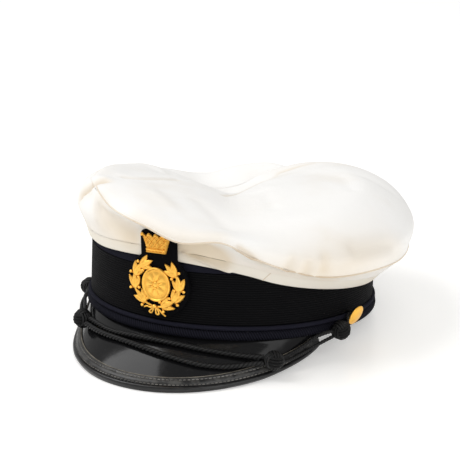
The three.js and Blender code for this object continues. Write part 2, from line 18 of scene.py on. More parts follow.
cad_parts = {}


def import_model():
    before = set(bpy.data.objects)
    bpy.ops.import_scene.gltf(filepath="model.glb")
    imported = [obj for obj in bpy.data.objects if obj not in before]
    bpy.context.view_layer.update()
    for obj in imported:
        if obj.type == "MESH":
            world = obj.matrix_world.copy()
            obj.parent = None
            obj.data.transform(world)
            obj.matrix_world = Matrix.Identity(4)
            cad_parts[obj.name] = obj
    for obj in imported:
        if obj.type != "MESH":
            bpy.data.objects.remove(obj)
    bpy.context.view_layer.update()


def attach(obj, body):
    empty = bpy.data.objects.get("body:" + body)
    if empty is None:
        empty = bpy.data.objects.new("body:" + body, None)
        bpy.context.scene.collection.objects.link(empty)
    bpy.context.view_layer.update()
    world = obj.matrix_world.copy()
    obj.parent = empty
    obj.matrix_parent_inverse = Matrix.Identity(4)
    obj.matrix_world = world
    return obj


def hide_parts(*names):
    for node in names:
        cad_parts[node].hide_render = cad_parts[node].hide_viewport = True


MM = 0.001
BODY = "root"
MERGE_DISTANCE = 2e-6
HEM_LEAN = 0.85
LOG = logging.getLogger("peaked_cap")

Colour = tuple[float, float, float]
Pair = tuple[float, float]
Shape = Callable[[int, int], Vector]
Amount = Callable[[int, int], float]
Radius = Callable[[int, float], float]

DAYLIGHT: Colour = (1.0, 0.995, 0.985)


def mixed(a: float, b: float, share: float) -> float:
    """Value a share of the way from a to b."""
    return a + (b - a) * share


def bell(distance: float) -> float:
    """Smooth hump that is 1 at no distance and fades to 0."""
    return math.exp(-distance * distance)


class Side(Enum):
    """The two sides of the cap as the photograph shows them."""

    LEFT = "left"
    RIGHT = "right"


@dataclass(frozen=True)
class CapPose:
    """How the cap lies on the table: tipped back, and moved to the frame's middle."""

    tilt: float = 6.9
    x: float = -6.2
    y: float = 8.9
    z: float = 11.6

    def place(self, point: Vector) -> Vector:
        """Turn a point of the cap's frame into Blender's metres.

        Args:
            point: Place in the cap's frame, in millimetres.

        Returns:
            The place in the shared frame, in metres, never under the table.
        """
        cos, sin = math.cos(math.radians(self.tilt)), math.sin(math.radians(self.tilt))
        y = point.y * cos + point.z * sin + self.y
        z = -point.y * sin + point.z * cos + self.z
        return Vector((point.x + self.x, y, max(z, 0.0))) * MM


@dataclass(frozen=True)
class HeadOval:
    """The oval that the band follows round the head."""

    half_width: float = 92.0
    half_length: float = 98.0

    def normal(self, angle: float) -> Vector:
        """Direction straight out from the oval at an angle in degrees, 0 at the front."""
        turn = math.radians(angle)
        return Vector((math.sin(turn) / self.half_width, -math.cos(turn) / self.half_length, 0)).normalized()

    def point(self, angle: float, out: float, height: float) -> Vector:
        """Point round the band.

        Args:
            angle: Degrees from the front, positive towards the wearer's left.
            out: Distance out from the band's face.
            height: Height over the lower rim.

        Returns:
            The point in the cap's frame.
        """
        turn = math.radians(angle)
        foot = Vector((self.half_width * math.sin(turn), -self.half_length * math.cos(turn), height))
        return foot + self.normal(angle) * out

    def length(self) -> float:
        """Length once round the oval, by Ramanujan's rule."""
        a, b = self.half_width, self.half_length
        return math.pi * (3 * (a + b) - math.sqrt((3 * a + b) * (a + 3 * b)))


POSE = CapPose()
OVAL = HeadOval()


class SmoothPath:
    """Smooth curve through points, with the knots spaced by the root of the distance between them."""

    SAMPLES = 40

    def __init__(self, points: Sequence[Vector]) -> None:
        """Keep the points and add one beyond each end.

        Args:
            points: Points that the curve goes through, at least two.
        """
        first, last = points[0] * 2 - points[1], points[-1] * 2 - points[-2]
        self.points = [first, *points, last]
        self.spans = len(points) - 1

    def point(self, share: float) -> Vector:
        """Point at a share of the way along, each span counting alike.

        Args:
            share: From 0 at the first point to 1 at the last.

        Returns:
            The point on the curve.
        """
        place = min(max(share, 0.0), 1.0) * self.spans
        span = min(int(place), self.spans - 1)
        t = place - span
        p0, p1, p2, p3 = self.points[span:span + 4]
        d0, d1, d2 = (max(math.sqrt((b - a).length), 1e-6) for a, b in ((p0, p1), (p1, p2), (p2, p3)))
        leave = ((p1 - p0) / d0 - (p2 - p0) / (d0 + d1) + (p2 - p1) / d1) * d1
        arrive = ((p2 - p1) / d1 - (p3 - p1) / (d1 + d2) + (p3 - p2) / d2) * d1
        t2, t3 = t * t, t * t * t
        return (p1 * (2 * t3 - 3 * t2 + 1) + leave * (t3 - 2 * t2 + t)
                + p2 * (3 * t2 - 2 * t3) + arrive * (t3 - t2))

    def evenly(self, step: float) -> list[Vector]:
        """Points along the curve, an even distance apart.

        Args:
            step: About how far apart they lie.

        Returns:
            The points, with both ends.
        """
        count = self.SAMPLES * self.spans
        return spread([self.point(i / count) for i in range(count + 1)], step)


def run_length(points: Sequence[Vector]) -> float:
    """Length of a run of points."""
    return sum((b - a).length for a, b in zip(points, points[1:]))


def spread(points: Sequence[Vector], step: float) -> list[Vector]:
    """Space points evenly along a run.

    Args:
        points: The run to follow.
        step: About how far apart the new points lie.

    Returns:
        The new points, with both ends.
    """
    total = run_length(points)
    count = max(2, round(total / step))
    result, walked, at = [points[0].copy()], 0.0, 0
    for i in range(1, count):
        goal = total * i / count
        while walked + (points[at + 1] - points[at]).length < goal:
            walked += (points[at + 1] - points[at]).length
            at += 1
        span = (points[at + 1] - points[at]).length
        result.append(points[at].lerp(points[at + 1], (goal - walked) / span))
    return [*result, points[-1].copy()]


def frames_along(points: Sequence[Vector]) -> list[tuple[Vector, Vector]]:
    """Two directions across a run at each point, carried along without twist.

    Args:
        points: The run to follow.

    Returns:
        A pair of directions for each point, square to the run and to each other.
    """
    last = len(points) - 1
    runs = [(points[min(i + 1, last)] - points[max(i - 1, 0)]).normalized() for i in range(last + 1)]
    side = runs[0].cross(Vector((0, 0, 1)))
    side = side.normalized() if side.length > 0.1 else Vector((1, 0, 0))
    pairs = []
    for run in runs:
        side = (side - run * side.dot(run)).normalized()
        pairs.append((side.copy(), run.cross(side)))
    return pairs


class Workbench:
    """Blender's modelling operators, used as by hand on one piece at a time."""

    @staticmethod
    def pick(piece: bpy.types.Object) -> None:
        """Select one object alone and make it the active one.

        Args:
            piece: Object to select.
        """
        bpy.ops.object.select_all(action="DESELECT")
        piece.select_set(True)
        bpy.context.view_layer.objects.active = piece

    def sheet(self, name: str, columns: int, rows: int, shape: Shape, size: Pair, closed: bool = True,
              capped: bool = False, **marks: Amount) -> bpy.types.Object:
        """Add a grid and move its vertices to where a shape puts them.

        Args:
            name: Name of the new piece.
            columns: Faces along the first way of the grid.
            rows: Faces along the second way.
            shape: Place of the vertex at a column and row, in the cap's frame.
            size: Length and width of the sheet, for its UV map, in millimetres.
            closed: Whether the sheet closes to a solid once its meeting edges are merged.
            capped: Whether open ends are filled.
            marks: Numbers for the material at a column and row, each under its name.

        Returns:
            The new piece, smooth, with its faces outwards.
        """
        bpy.ops.object.select_all(action="DESELECT")
        bpy.ops.mesh.primitive_grid_add(x_subdivisions=columns, y_subdivisions=rows, size=2)
        piece = bpy.context.active_object
        piece.name = piece.data.name = name
        spots = [(round((v.co.x + 1) / 2 * columns), round((v.co.y + 1) / 2 * rows))
                 for v in piece.data.vertices]
        for vertex, spot in zip(piece.data.vertices, spots):
            vertex.co = POSE.place(shape(*spot))
        for mark, amount in marks.items():
            layer = piece.data.attributes.new(mark, "FLOAT", "POINT")
            for item, spot in zip(layer.data, spots):
                item.value = amount(*spot)
        for corner in piece.data.uv_layers.active.data:
            corner.uv = (corner.uv[0] * size[0] * MM, corner.uv[1] * size[1] * MM)
        self.clean(piece, closed, capped)
        return piece

    def clean(self, piece: bpy.types.Object, closed: bool, capped: bool) -> None:
        """Merge doubles, fill open ends and turn the faces outwards.

        Args:
            piece: Piece to clean.
            closed: Whether the faces are turned outwards as those of a solid.
            capped: Whether open ends are filled first.
        """
        self.pick(piece)
        bpy.ops.object.mode_set(mode="EDIT")
        bpy.ops.mesh.select_all(action="SELECT")
        bpy.ops.mesh.remove_doubles(threshold=MERGE_DISTANCE)
        if capped:
            bpy.ops.mesh.select_all(action="SELECT")
            bpy.ops.mesh.fill_holes(sides=0)
        bpy.ops.mesh.select_all(action="SELECT")
        if closed:
            bpy.ops.mesh.normals_make_consistent(inside=False)
        bpy.ops.object.mode_set(mode="OBJECT")
        bpy.ops.object.shade_smooth()

    def thicken(self, piece: bpy.types.Object, wall: float) -> None:
        """Give an open sheet a wall under its outer face.

        Args:
            piece: Sheet whose faces point outwards.
            wall: Thickness in millimetres.
        """
        self.pick(piece)
        wall_modifier = piece.modifiers.new("Wall", "SOLIDIFY")
        wall_modifier.thickness = wall * MM
        wall_modifier.offset = -1
        bpy.ops.object.modifier_apply(modifier=wall_modifier.name)

    def crease(self, piece: bpy.types.Object, angle: float) -> None:
        """Shade a piece smooth apart from edges sharper than an angle."""
        self.pick(piece)
        bpy.ops.object.shade_smooth_by_angle(angle=math.radians(angle))

    def copy(self, piece: bpy.types.Object, name: str,
             change: Callable[[Vector], Vector]) -> bpy.types.Object:
        """Copy a piece with its own mesh, with each vertex moved.

        Args:
            piece: Piece to copy.
            name: Name of the copy.
            change: New place of a vertex from its place in the first piece.

        Returns:
            The copy.
        """
        self.pick(piece)
        bpy.ops.object.duplicate(linked=False)
        twin = bpy.context.active_object
        twin.name = twin.data.name = name
        for vertex in twin.data.vertices:
            vertex.co = change(vertex.co)
        return twin

    def join(self, pieces: Sequence[bpy.types.Object], name: str) -> bpy.types.Object:
        """Join pieces into one.

        Args:
            pieces: Pieces to join.
            name: Name of the result.

        Returns:
            The joined piece.
        """
        bpy.ops.object.select_all(action="DESELECT")
        for piece in pieces:
            piece.select_set(True)
        bpy.context.view_layer.objects.active = pieces[0]
        if len(pieces) > 1:
            bpy.ops.object.join()
        joined = bpy.context.active_object
        joined.name = joined.data.name = name
        return joined

    def tube(self, name: str, points: Sequence[Vector], sides: int, radius: Radius,
             closed_run: bool = False, **marks: Amount) -> bpy.types.Object:
        """Add a tube along a run of points.

        Args:
            name: Name of the new piece.
            points: Centres of its rings, in the cap's frame.
            sides: Faces round it.
            radius: Radius at a ring and an angle round it, in millimetres.
            closed_run: Whether its last ring meets its first.
            marks: Numbers for the material at a ring and a side, each under its name.

        Returns:
            The tube, its UV map in metres along and round it.
        """
        pairs = frames_along(points)
        if closed_run:
            pairs[-1] = pairs[0]

        def ring_point(column: int, row: int) -> Vector:
            """Point of the tube.

            Args:
                column: Number of the ring.
                row: Number of the side.

            Returns:
                The point in the cap's frame.
            """
            turn = 2 * math.pi * row / sides
            side, up = pairs[column]
            return points[column] + (side * math.cos(turn) + up * math.sin(turn)) * radius(column, turn)

        size = (run_length(points), 2 * math.pi * radius(0, 0.0))
        return self.sheet(name, len(points) - 1, sides, ring_point, size, capped=not closed_run, **marks)


BENCH = Workbench()


class Value:
    """A number that a shader works out, with Python's operators on it."""

    def __init__(self, shader: Shader, socket: bpy.types.NodeSocket) -> None:
        """Wrap an output socket of a shader's node."""
        self.shader = shader
        self.socket = socket

    def math(self, operation: str, *others: Any, first: Any = None) -> Value:
        """Add a Math node on this value.

        Args:
            operation: Blender's name of the operation.
            others: Numbers or values for its other sockets.
            first: Number that takes this value's place in front of it.

        Returns:
            The node's result.
        """
        terms = [first, self] if first is not None else [self, *others]
        return self.shader.node("ShaderNodeMath", {"operation": operation}, dict(enumerate(terms)))

    def __add__(self, other: Any) -> Value:
        """This value and another."""
        return self.math("ADD", other)

    def __sub__(self, other: Any) -> Value:
        """This value less another."""
        return self.math("SUBTRACT", other)

    def __rsub__(self, other: float) -> Value:
        """A number less this value."""
        return self.math("SUBTRACT", first=other)

    def __mul__(self, other: Any) -> Value:
        """This value times another."""
        return self.math("MULTIPLY", other)

    def __pow__(self, other: Any) -> Value:
        """This value to a power."""
        return self.math("POWER", other)

    __radd__ = __add__
    __rmul__ = __mul__

    def waves(self, pitch: float) -> Value:
        """Smooth waves from 0 to 1 along this length, one to each pitch."""
        return (self * (2 * math.pi / pitch)).math("SINE") * 0.5 + 0.5

    def above(self, low: float, high: float) -> Value:
        """Smooth step up.

        Args:
            low: Value at and below which it is 0.
            high: Value at and above which it is 1.

        Returns:
            The step.
        """
        ranges = {1: low, 2: high, 3: 0.0, 4: 1.0}
        settings = {"interpolation_type": "SMOOTHSTEP"}
        return self.shader.node("ShaderNodeMapRange", settings, {0: self, **ranges})


class Shader:
    """A material's nodes around one Principled shader."""

    def __init__(self, name: str, **constants: Any) -> None:
        """Start a material.

        Args:
            name: Name of the material.
            constants: Values of the shader's sockets, an underscore for each space.
        """
        self.material = bpy.data.materials.new(name)
        self.material.use_nodes = True
        self.nodes = self.material.node_tree.nodes
        self.links = self.material.node_tree.links
        self.principled = self.nodes["Principled BSDF"]
        for key, value in constants.items():
            socket = key.replace("_", " ").title().replace("Ior", "IOR")
            self.principled.inputs[socket].default_value = value

    def node(self, kind: str, settings: dict[str, Any], inputs: dict[Any, Any], output: Any = 0) -> Value:
        """Add a node.

        Args:
            kind: Blender's type of the node.
            settings: Its properties, set before its sockets.
            inputs: A number, a colour or a Value for each named or numbered socket.
            output: Name or number of the output to return.

        Returns:
            That output.
        """
        node = self.nodes.new(kind)
        for key, value in settings.items():
            setattr(node, key, value)
        for key, value in inputs.items():
            if isinstance(value, Value):
                self.links.new(value.socket, node.inputs[key])
            else:
                node.inputs[key].default_value = value
        return Value(self, node.outputs[output])

    def place(self) -> Value:
        """Object coordinates, in metres."""
        return self.node("ShaderNodeTexCoord", {}, {}, "Object")

    def along(self, axis: str, vector: Value | None = None) -> Value:
        """One part of a vector, by default of the piece's UV map.

        Args:
            axis: X, Y or Z.
            vector: Vector to take it from.

        Returns:
            That part.
        """
        source = vector or self.node("ShaderNodeUVMap", {"uv_map": "UVMap"}, {})
        return self.node("ShaderNodeSeparateXYZ", {}, {0: source}, axis)

    def noise(self, size: float, detail: float = 2.0, roughness: float = 0.5,
              vector: Value | None = None) -> Value:
        """Cloudy noise.

        Args:
            size: About how large its blotches are, in metres.
            detail: Number of its finer layers.
            roughness: Strength of the finer layers.
            vector: Place to read it at, by default in object coordinates.

        Returns:
            The noise, from 0 to 1.
        """
        grain = {"Scale": 1 / size, "Detail": detail, "Roughness": roughness}
        return self.node("ShaderNodeTexNoise", {}, {"Vector": vector or self.place(), **grain})

    def mark(self, name: str) -> Value:
        """Number that a piece's vertices carry under a name."""
        return self.node("ShaderNodeAttribute", {"attribute_name": name}, {}, "Fac")

    def blend(self, share: Any, a: Any, b: Any) -> Value:
        """Colour a share of the way from one colour to another."""
        ends = {6: a if isinstance(a, Value) else (*a, 1), 7: b if isinstance(b, Value) else (*b, 1)}
        return self.node("ShaderNodeMix", {"data_type": "RGBA"}, {0: share, **ends}, 2)

    def bump(self, height: Value, depth: float) -> None:
        """Raise the surface by a height from 0 to 1, a depth in metres."""
        self.feed("Normal", self.node("ShaderNodeBump", {}, {"Distance": depth, "Height": height}))

    def feed(self, socket: str, value: Value) -> None:
        """Link a value to a socket of the Principled shader."""
        self.links.new(value.socket, self.principled.inputs[socket])


@dataclass(frozen=True)
class Cloth:
    """Plain-woven cover cloth, pale on its open faces and tan with painted shade in its folds and low down,
    mixed with some soil.
    """

    name: str
    clean: Colour
    shade_and_dirt: Colour
    pitch: float = 0.00055
    depth: float = 0.00006
    roughness: float = 0.85
    gloss: float = 0.2
    blotch: float = 0.2

    def material(self) -> bpy.types.Material:
        """Make the cloth's material: threads both ways, faint blotches, and painted shade with some soil in
        its folds and low down.

        Returns:
            The material.
        """
        shader = Shader(self.name, roughness=self.roughness, specular_ior_level=self.gloss)
        threads = shader.along("X").waves(self.pitch) * shader.along("Y").waves(self.pitch)
        slubs = shader.noise(0.0011, 3.0)
        wrinkles = shader.noise(0.014, 2.0)
        blotches = shader.noise(0.05, 3.0).above(0.45, 0.75) * self.blotch
        # The mark read here is mostly painted shade in folds and low down, with some soil; the blotches are
        # the cloth's own uneven tone.
        shade_and_dirt_share = (blotches + shader.mark("shade_and_soil")).math("MINIMUM", 1.0)
        shader.feed("Base Color", shader.blend(shade_and_dirt_share, self.clean, self.shade_and_dirt))
        shader.bump(threads * 0.5 + slubs * 0.7 + wrinkles * 6.0, self.depth)
        return shader.material


@dataclass(frozen=True)
class Wool:
    """Dark napped cloth with a short pile and, on a roll, slanting ribs."""

    name: str
    deep: Colour
    lit: Colour
    rib: float = 0.0
    slant: float = 0.3
    depth: float = 0.0003
    roughness: float = 0.85
    gloss: float = 0.05

    def material(self) -> bpy.types.Material:
        """Make the wool's material: pile, and ribs where it has them, painted lighter on their crests and
        darker in their grooves as light and shade.

        Returns:
            The material.
        """
        shader = Shader(self.name, roughness=self.roughness, specular_ior_level=self.gloss)
        pile = shader.noise(0.0004, 4.0, 0.7)
        height = pile * 0.6
        shade = pile
        if self.rib:
            ribs = (shader.along("X") + shader.along("Y") * self.slant).waves(self.rib)
            height = height + ribs
            # The ribs' part of the colour is painted light on their crests and painted shade in their
            # grooves.
            shade = pile * 0.4 + ribs * 0.6
        shader.feed("Base Color", shader.blend(shade, self.deep, self.lit))
        shader.bump(height, self.depth)
        return shader.material


@dataclass(frozen=True)
class Braid:
    """Ribbed dark braid, its weft crossing the ribs."""

    name: str = "dark_braid"
    deep: Colour = (0.0012, 0.0012, 0.0016)
    lit: Colour = (0.0046, 0.0046, 0.0052)
    weft: float = 0.0005
    depth: float = 0.00007
    gloss: float = 0.05

    def material(self) -> bpy.types.Material:
        """Make the braid's material: weft threads, faint lustre, lint, and painted light on the rib crests
        with painted shade in the grooves.

        Returns:
            The material.
        """
        shader = Shader(self.name, specular_ior_level=self.gloss)
        weft = shader.along("X").waves(self.weft)
        lint = shader.noise(0.0022, 3.0).above(0.62, 0.8)
        # The rib mark paints the crests lighter and the grooves darker: painted light and shade.
        shade = shader.mark("rib") * 0.8 + lint * 0.4
        shader.feed("Base Color", shader.blend(shade, self.deep, self.lit))
        shader.feed("Roughness", 0.58 + shader.noise(0.02) * 0.25)
        shader.bump(weft * 0.6 + shader.noise(0.0005, 3.0) * 0.5, self.depth)
        return shader.material


@dataclass(frozen=True)
class Patent:
    """Glossy black peak, with dull scuffs and fine scratches in the gloss."""

    name: str = "peak_patent"
    base: Colour = (0.006, 0.006, 0.0065)
    scuffed: Colour = (0.06, 0.058, 0.056)
    gloss: float = 0.17
    coat: float = 0.08
    coat_roughness: float = 0.06
    depth: float = 0.0002

    def material(self) -> bpy.types.Material:
        """Make the gloss: smooth coat, faint dents, scuffs and drawn-out scratches.

        Returns:
            The material.
        """
        shader = Shader(self.name, specular_ior_level=self.gloss, coat_weight=self.coat,
                        coat_roughness=self.coat_roughness)
        drawn = {"Vector": shader.place(), "Rotation": (0.0, 0.0, 0.6), "Scale": (1.0, 14.0, 14.0)}
        turned = shader.node("ShaderNodeMapping", {}, drawn)
        scratches = shader.noise(0.012, 5.0, 0.7, turned).above(0.66, 0.74)
        scuffs = shader.noise(0.009, 5.0, 0.65).above(0.62, 0.74) * shader.noise(0.04).above(0.5, 0.62)
        wear = (scratches * 0.25 + scuffs * 0.6).math("MINIMUM", 1.0)
        shader.feed("Base Color", shader.blend(wear * 0.45, self.base, self.scuffed))
        shader.feed("Roughness", 0.11 + shader.noise(0.006, 4.0) * 0.06 + wear * 0.35)
        shader.bump(shader.noise(0.018, 3.0) + scratches * 0.02, self.depth)
        return shader.material


@dataclass(frozen=True)
class Leathercloth:
    """Grained black edging, rubbed paler on its bead."""

    name: str = "edge_leathercloth"
    base: Colour = (0.005, 0.005, 0.0055)
    rubbed: Colour = (0.06, 0.058, 0.054)
    gloss: float = 0.4
    pebble: float = 0.0009
    depth: float = 0.00008

    def material(self) -> bpy.types.Material:
        """Make the edging: pebbled grain, rubbed edges and uneven gloss.

        Returns:
            The material.
        """
        shader = Shader(self.name, specular_ior_level=self.gloss)
        pebbles = {"Vector": shader.place(), "Scale": 1 / self.pebble}
        grain = shader.node("ShaderNodeTexVoronoi", {}, pebbles)
        rub = shader.mark("rub") * shader.noise(0.004, 4.0).above(0.35, 0.7)
        shader.feed("Base Color", shader.blend(rub, self.base, self.rubbed))
        shader.feed("Roughness", 0.2 + shader.noise(0.008, 3.0) * 0.2 + rub * 0.25)
        shader.bump(grain + shader.noise(0.004, 2.0) * 2.0, self.depth)
        return shader.material


@dataclass(frozen=True)
class Gilt:
    """Stamped gilt metal, with painted shade where it lies low on the patch."""

    name: str = "stamped_gilt"
    bright: Colour = (1.0, 0.56, 0.095)
    darker_gilt: Colour = (0.58, 0.26, 0.03)
    metal: float = 0.8
    depth: float = 0.00005

    def material(self) -> bpy.types.Material:
        """Make the gilt: warm metal, painted shade where it lies low on the patch, fine brushing.

        Returns:
            The material.
        """
        shader = Shader(self.name, metallic=self.metal)
        spots = shader.noise(0.0025, 4.0).above(0.45, 0.75)
        # Painted shade where the gilt lies low on the patch, with random dull spots.
        dull = (spots * 0.3 + shader.mark("recess_shade") * 0.8).math("MINIMUM", 1.0)
        shader.feed("Base Color", shader.blend(dull, self.bright, self.darker_gilt))
        shader.feed("Roughness", 0.27 + shader.noise(0.0012, 3.0) * 0.14 + dull * 0.15)
        shader.bump(shader.noise(0.0007, 3.0), self.depth)
        return shader.material


@dataclass(frozen=True)
class Cordage:
    """Black silk cord, fine yarns laid along each strand, with painted light on its crowns and painted shade
    in its grooves.
    """

    name: str = "black_cordage"
    deep: Colour = (0.0006, 0.0006, 0.0008)
    lit: Colour = (0.009, 0.009, 0.0095)
    yarn: float = 0.00042
    gloss: float = 0.3
    depth: float = 0.00006

    def material(self) -> bpy.types.Material:
        """Make the cord's material: yarns that cross the lay, a silky sheen, and painted light and shade
        across each strand.

        Returns:
            The material.
        """
        shader = Shader(self.name, specular_ior_level=self.gloss)
        yarns = (shader.along("X") * 0.85 + shader.along("Y") * 0.5).waves(self.yarn)
        fuzz = shader.noise(0.0005, 3.0)
        # The lay mark paints the crowns lighter and the grooves darkest, as light and shade; a piece without
        # it, such as a knot's core or a button's shank, takes the shade colour throughout.
        raised = shader.mark("lay") ** 2.0
        shade = raised * (yarns * 0.4 + fuzz * 0.6)
        shader.feed("Base Color", shader.blend(shade, self.deep, self.lit))
        shader.feed("Roughness", 0.75 - raised * 0.42 + fuzz * 0.1)
        shader.bump(yarns * 0.7 + fuzz * 0.5, self.depth)
        return shader.material


@dataclass(frozen=True)
class Thread:
    """Sewing thread, two plies twisted."""

    name: str
    pale: Colour
    dark: Colour
    ply: float = 0.0005
    depth: float = 0.00008
    roughness: float = 0.6

    def material(self) -> bpy.types.Material:
        """Make the thread's material: plies and a little grime.

        Returns:
            The material.
        """
        shader = Shader(self.name, roughness=self.roughness)
        plies = (shader.along("X") + shader.along("Y")).waves(self.ply)
        grime = shader.noise(0.006, 3.0).above(0.35, 0.7)
        shader.feed("Base Color", shader.blend(grime * 0.7 + plies * 0.3, self.pale, self.dark))
        shader.bump(plies, self.depth)
        return shader.material


@dataclass(frozen=True)
class TableTop:
    """Pale, faintly glossy table."""

    name: str = "pale_table"
    colour: Colour = (0.91, 0.905, 0.893)
    glow: float = 0.3
    roughness: float = 0.28

    def material(self) -> bpy.types.Material:
        """Make the table's material: lit from below, as a light table is.

        Returns:
            The material.
        """
        shader = Shader(self.name, roughness=self.roughness, base_color=(*self.colour, 1),
                        emission_color=(*DAYLIGHT, 1), emission_strength=self.glow)
        return shader.material


class Finish(Enum):
    """Finishes of the cap and of the table that it lies on."""

    # Each cloth's second colour is its painted-shade colour, mixed with some soil.
    WHITE = Cloth("white_cover", (0.90, 0.891, 0.874), (0.74, 0.64, 0.50))
    # The hem is the cover's white cloth, painted darker cream as the shade under the overhang.
    HEM = Cloth("shaded_hem_cream", (0.80, 0.755, 0.67), (0.64, 0.55, 0.42), pitch=0.0006)
    # The seams' tan is painted shade along the seam lines.
    SEAM = Cloth("seam_shade_line", (0.80, 0.73, 0.62), (0.58, 0.44, 0.29))
    NAVY = Wool("navy_cloth", (0.003, 0.003, 0.005), (0.019, 0.019, 0.031))
    ROLL = Wool("navy_ribbed", (0.0004, 0.0004, 0.0007), (0.015, 0.015, 0.024), rib=0.0017)
    BRAID = Braid()
    PATENT = Patent()
    EDGING = Leathercloth()
    FELT = Wool("badge_felt", (0.0008, 0.0008, 0.001), (0.004, 0.004, 0.005))
    GILT = Gilt()
    CORD = Cordage()
    STITCH = Thread("edge_stitch", (0.24, 0.23, 0.21), (0.04, 0.038, 0.035))
    RAW_EDGE = Thread("raw_edge", (0.24, 0.215, 0.17), (0.07, 0.062, 0.05))
    TABLE = TableTop()


class Wardrobe:
    """Materials made so far, and what dressing a piece takes."""

    def __init__(self) -> None:
        """Start with no materials."""
        self.made: dict[Finish, bpy.types.Material] = {}

    def material(self, finish: Finish) -> bpy.types.Material:
        """Material of a finish, made once.

        Args:
            finish: Finish to look up.

        Returns:
            Its material.
        """
        if finish not in self.made:
            self.made[finish] = finish.value.material()
        return self.made[finish]

    def dress(self, piece: bpy.types.Object, finish: Finish, slot: str, *nodes: str) -> bpy.types.Object:
        """Give a piece its finish and its place in the frame.

        Args:
            piece: Finished piece.
            finish: Finish that it takes.
            slot: Name of its material slot. Not used.
            nodes: CAD nodes that it stands for.

        Returns:
            The piece.
        """
        piece.data.materials.clear()
        piece.data.materials.append(self.material(finish))
        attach(piece, BODY)
        if nodes:
            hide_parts(*nodes)
        LOG.info("%s: %d faces", piece.name, len(piece.data.polygons))
        return piece


WARDROBE = Wardrobe()


def add_mark(piece: bpy.types.Object, name: str, amount: Callable[[Vector], float]) -> None:
    """Write a number on each vertex of a piece, for its material.

    Args:
        piece: Piece to mark.
        name: Name of the mark.
        amount: Number for a vertex at a place, in metres.
    """
    layer = piece.data.attributes.new(name, "FLOAT", "POINT")
    for vertex, item in zip(piece.data.vertices, layer.data):
        item.value = amount(vertex.co)


@dataclass(frozen=True)
class Softbox:
    """One large soft lamp that faces the cap."""

    place: tuple[float, float, float]
    size: float
    watts: float


@dataclass
class Studio:
    """Camera, lamps and table of the photograph."""

    heading: float = 29.85
    elevation: float = 21.67
    roll: float = -1.33
    distance: float = 1080.0
    focal_pixels: float = 1615.0
    image: float = 460.0
    aim_x: float = 232.2
    aim_y: float = 297.7
    sensor: float = 36.0
    sky: float = 0.52
    lamp_aim: float = 0.05
    table_size: float = 14.0
    table_drop: float = 0.0002
    lamps: tuple[Softbox, ...] = (
        Softbox((-1.3, -0.6, 1.9), 1.6, 34.0),
        Softbox((1.6, -0.8, 1.0), 1.6, 15.0),
    )

    def axes(self) -> tuple[Vector, Vector, Vector]:
        """Directions of the camera that looks straight at the cap's origin.

        Returns:
            Its right, its up and its back.
        """
        turn, lift, roll = (math.radians(a) for a in (self.heading, self.elevation, self.roll))
        back = Vector((math.sin(turn) * math.cos(lift), -math.cos(turn) * math.cos(lift), math.sin(lift)))
        level = Vector((math.cos(turn), math.sin(turn), 0))
        up = back.cross(level)
        return (level * math.cos(roll) + up * math.sin(roll),
                up * math.cos(roll) - level * math.sin(roll), back)

    def add_camera(self) -> None:
        """Add the camera, aimed so that the cap lands where the photograph has it."""
        right, up, back = self.axes()
        middle = self.image / 2
        aim = -back * self.focal_pixels + right * (middle - self.aim_x) + up * (self.aim_y - middle)
        towards = -aim.normalized()
        across = (right - towards * right.dot(towards)).normalized()
        turn = Matrix((across, towards.cross(across), towards)).transposed()
        place = Vector((POSE.x, POSE.y, POSE.z)) * MM + back * self.distance * MM
        bpy.ops.object.camera_add(location=place, rotation=turn.to_euler())
        camera = bpy.context.active_object
        camera.data.sensor_width = self.sensor
        camera.data.lens = self.focal_pixels / self.image * self.sensor
        bpy.context.scene.camera = camera

    def add_lights(self) -> None:
        """Add an even pale surround and the soft lamps."""
        scene = bpy.context.scene
        scene.view_settings.view_transform = "Standard"
        scene.world = bpy.data.worlds.new("studio")
        scene.world.use_nodes = True
        surround = scene.world.node_tree.nodes["Background"]
        surround.inputs["Color"].default_value = (*DAYLIGHT, 1)
        surround.inputs["Strength"].default_value = self.sky
        for lamp in self.lamps:
            place = Vector(lamp.place)
            facing = (Vector((0, 0, self.lamp_aim)) - place).to_track_quat("-Z", "Y").to_euler()
            bpy.ops.object.light_add(type="AREA", location=place, rotation=facing)
            light = bpy.context.active_object.data
            light.size = lamp.size
            light.energy = lamp.watts

    def add_table(self) -> None:
        """Add the pale table."""
        bpy.ops.object.select_all(action="DESELECT")
        bpy.ops.mesh.primitive_plane_add(size=self.table_size, location=(0, 0, -self.table_drop))
        table = bpy.context.active_object
        table.name = "table_top"
        bpy.ops.object.transform_apply(location=True, rotation=True, scale=True)
        table.data.materials.append(WARDROBE.material(Finish.TABLE))

    def build(self) -> None:
        """Set up the studio."""
        self.add_camera()
        self.add_lights()
        self.add_table()


def route(*numbers: float) -> tuple[Vector, ...]:
    """Points of a cord or a fold from a run of coordinates in threes."""
    return tuple(Vector(numbers[i:i + 3]) for i in range(0, len(numbers), 3))


@dataclass(frozen=True)
class Strand:
    """One twisted strand of the chin cord: its CAD node, its thickness and the points it runs through."""

    node: str
    diameter: float
    lay: float
    points: tuple[Vector, ...]


@dataclass(frozen=True)
class Knot:
    """One ball knot: its CAD node, its middle and the direction of its hole."""

    node: str
    middle: Vector
    axis: Vector


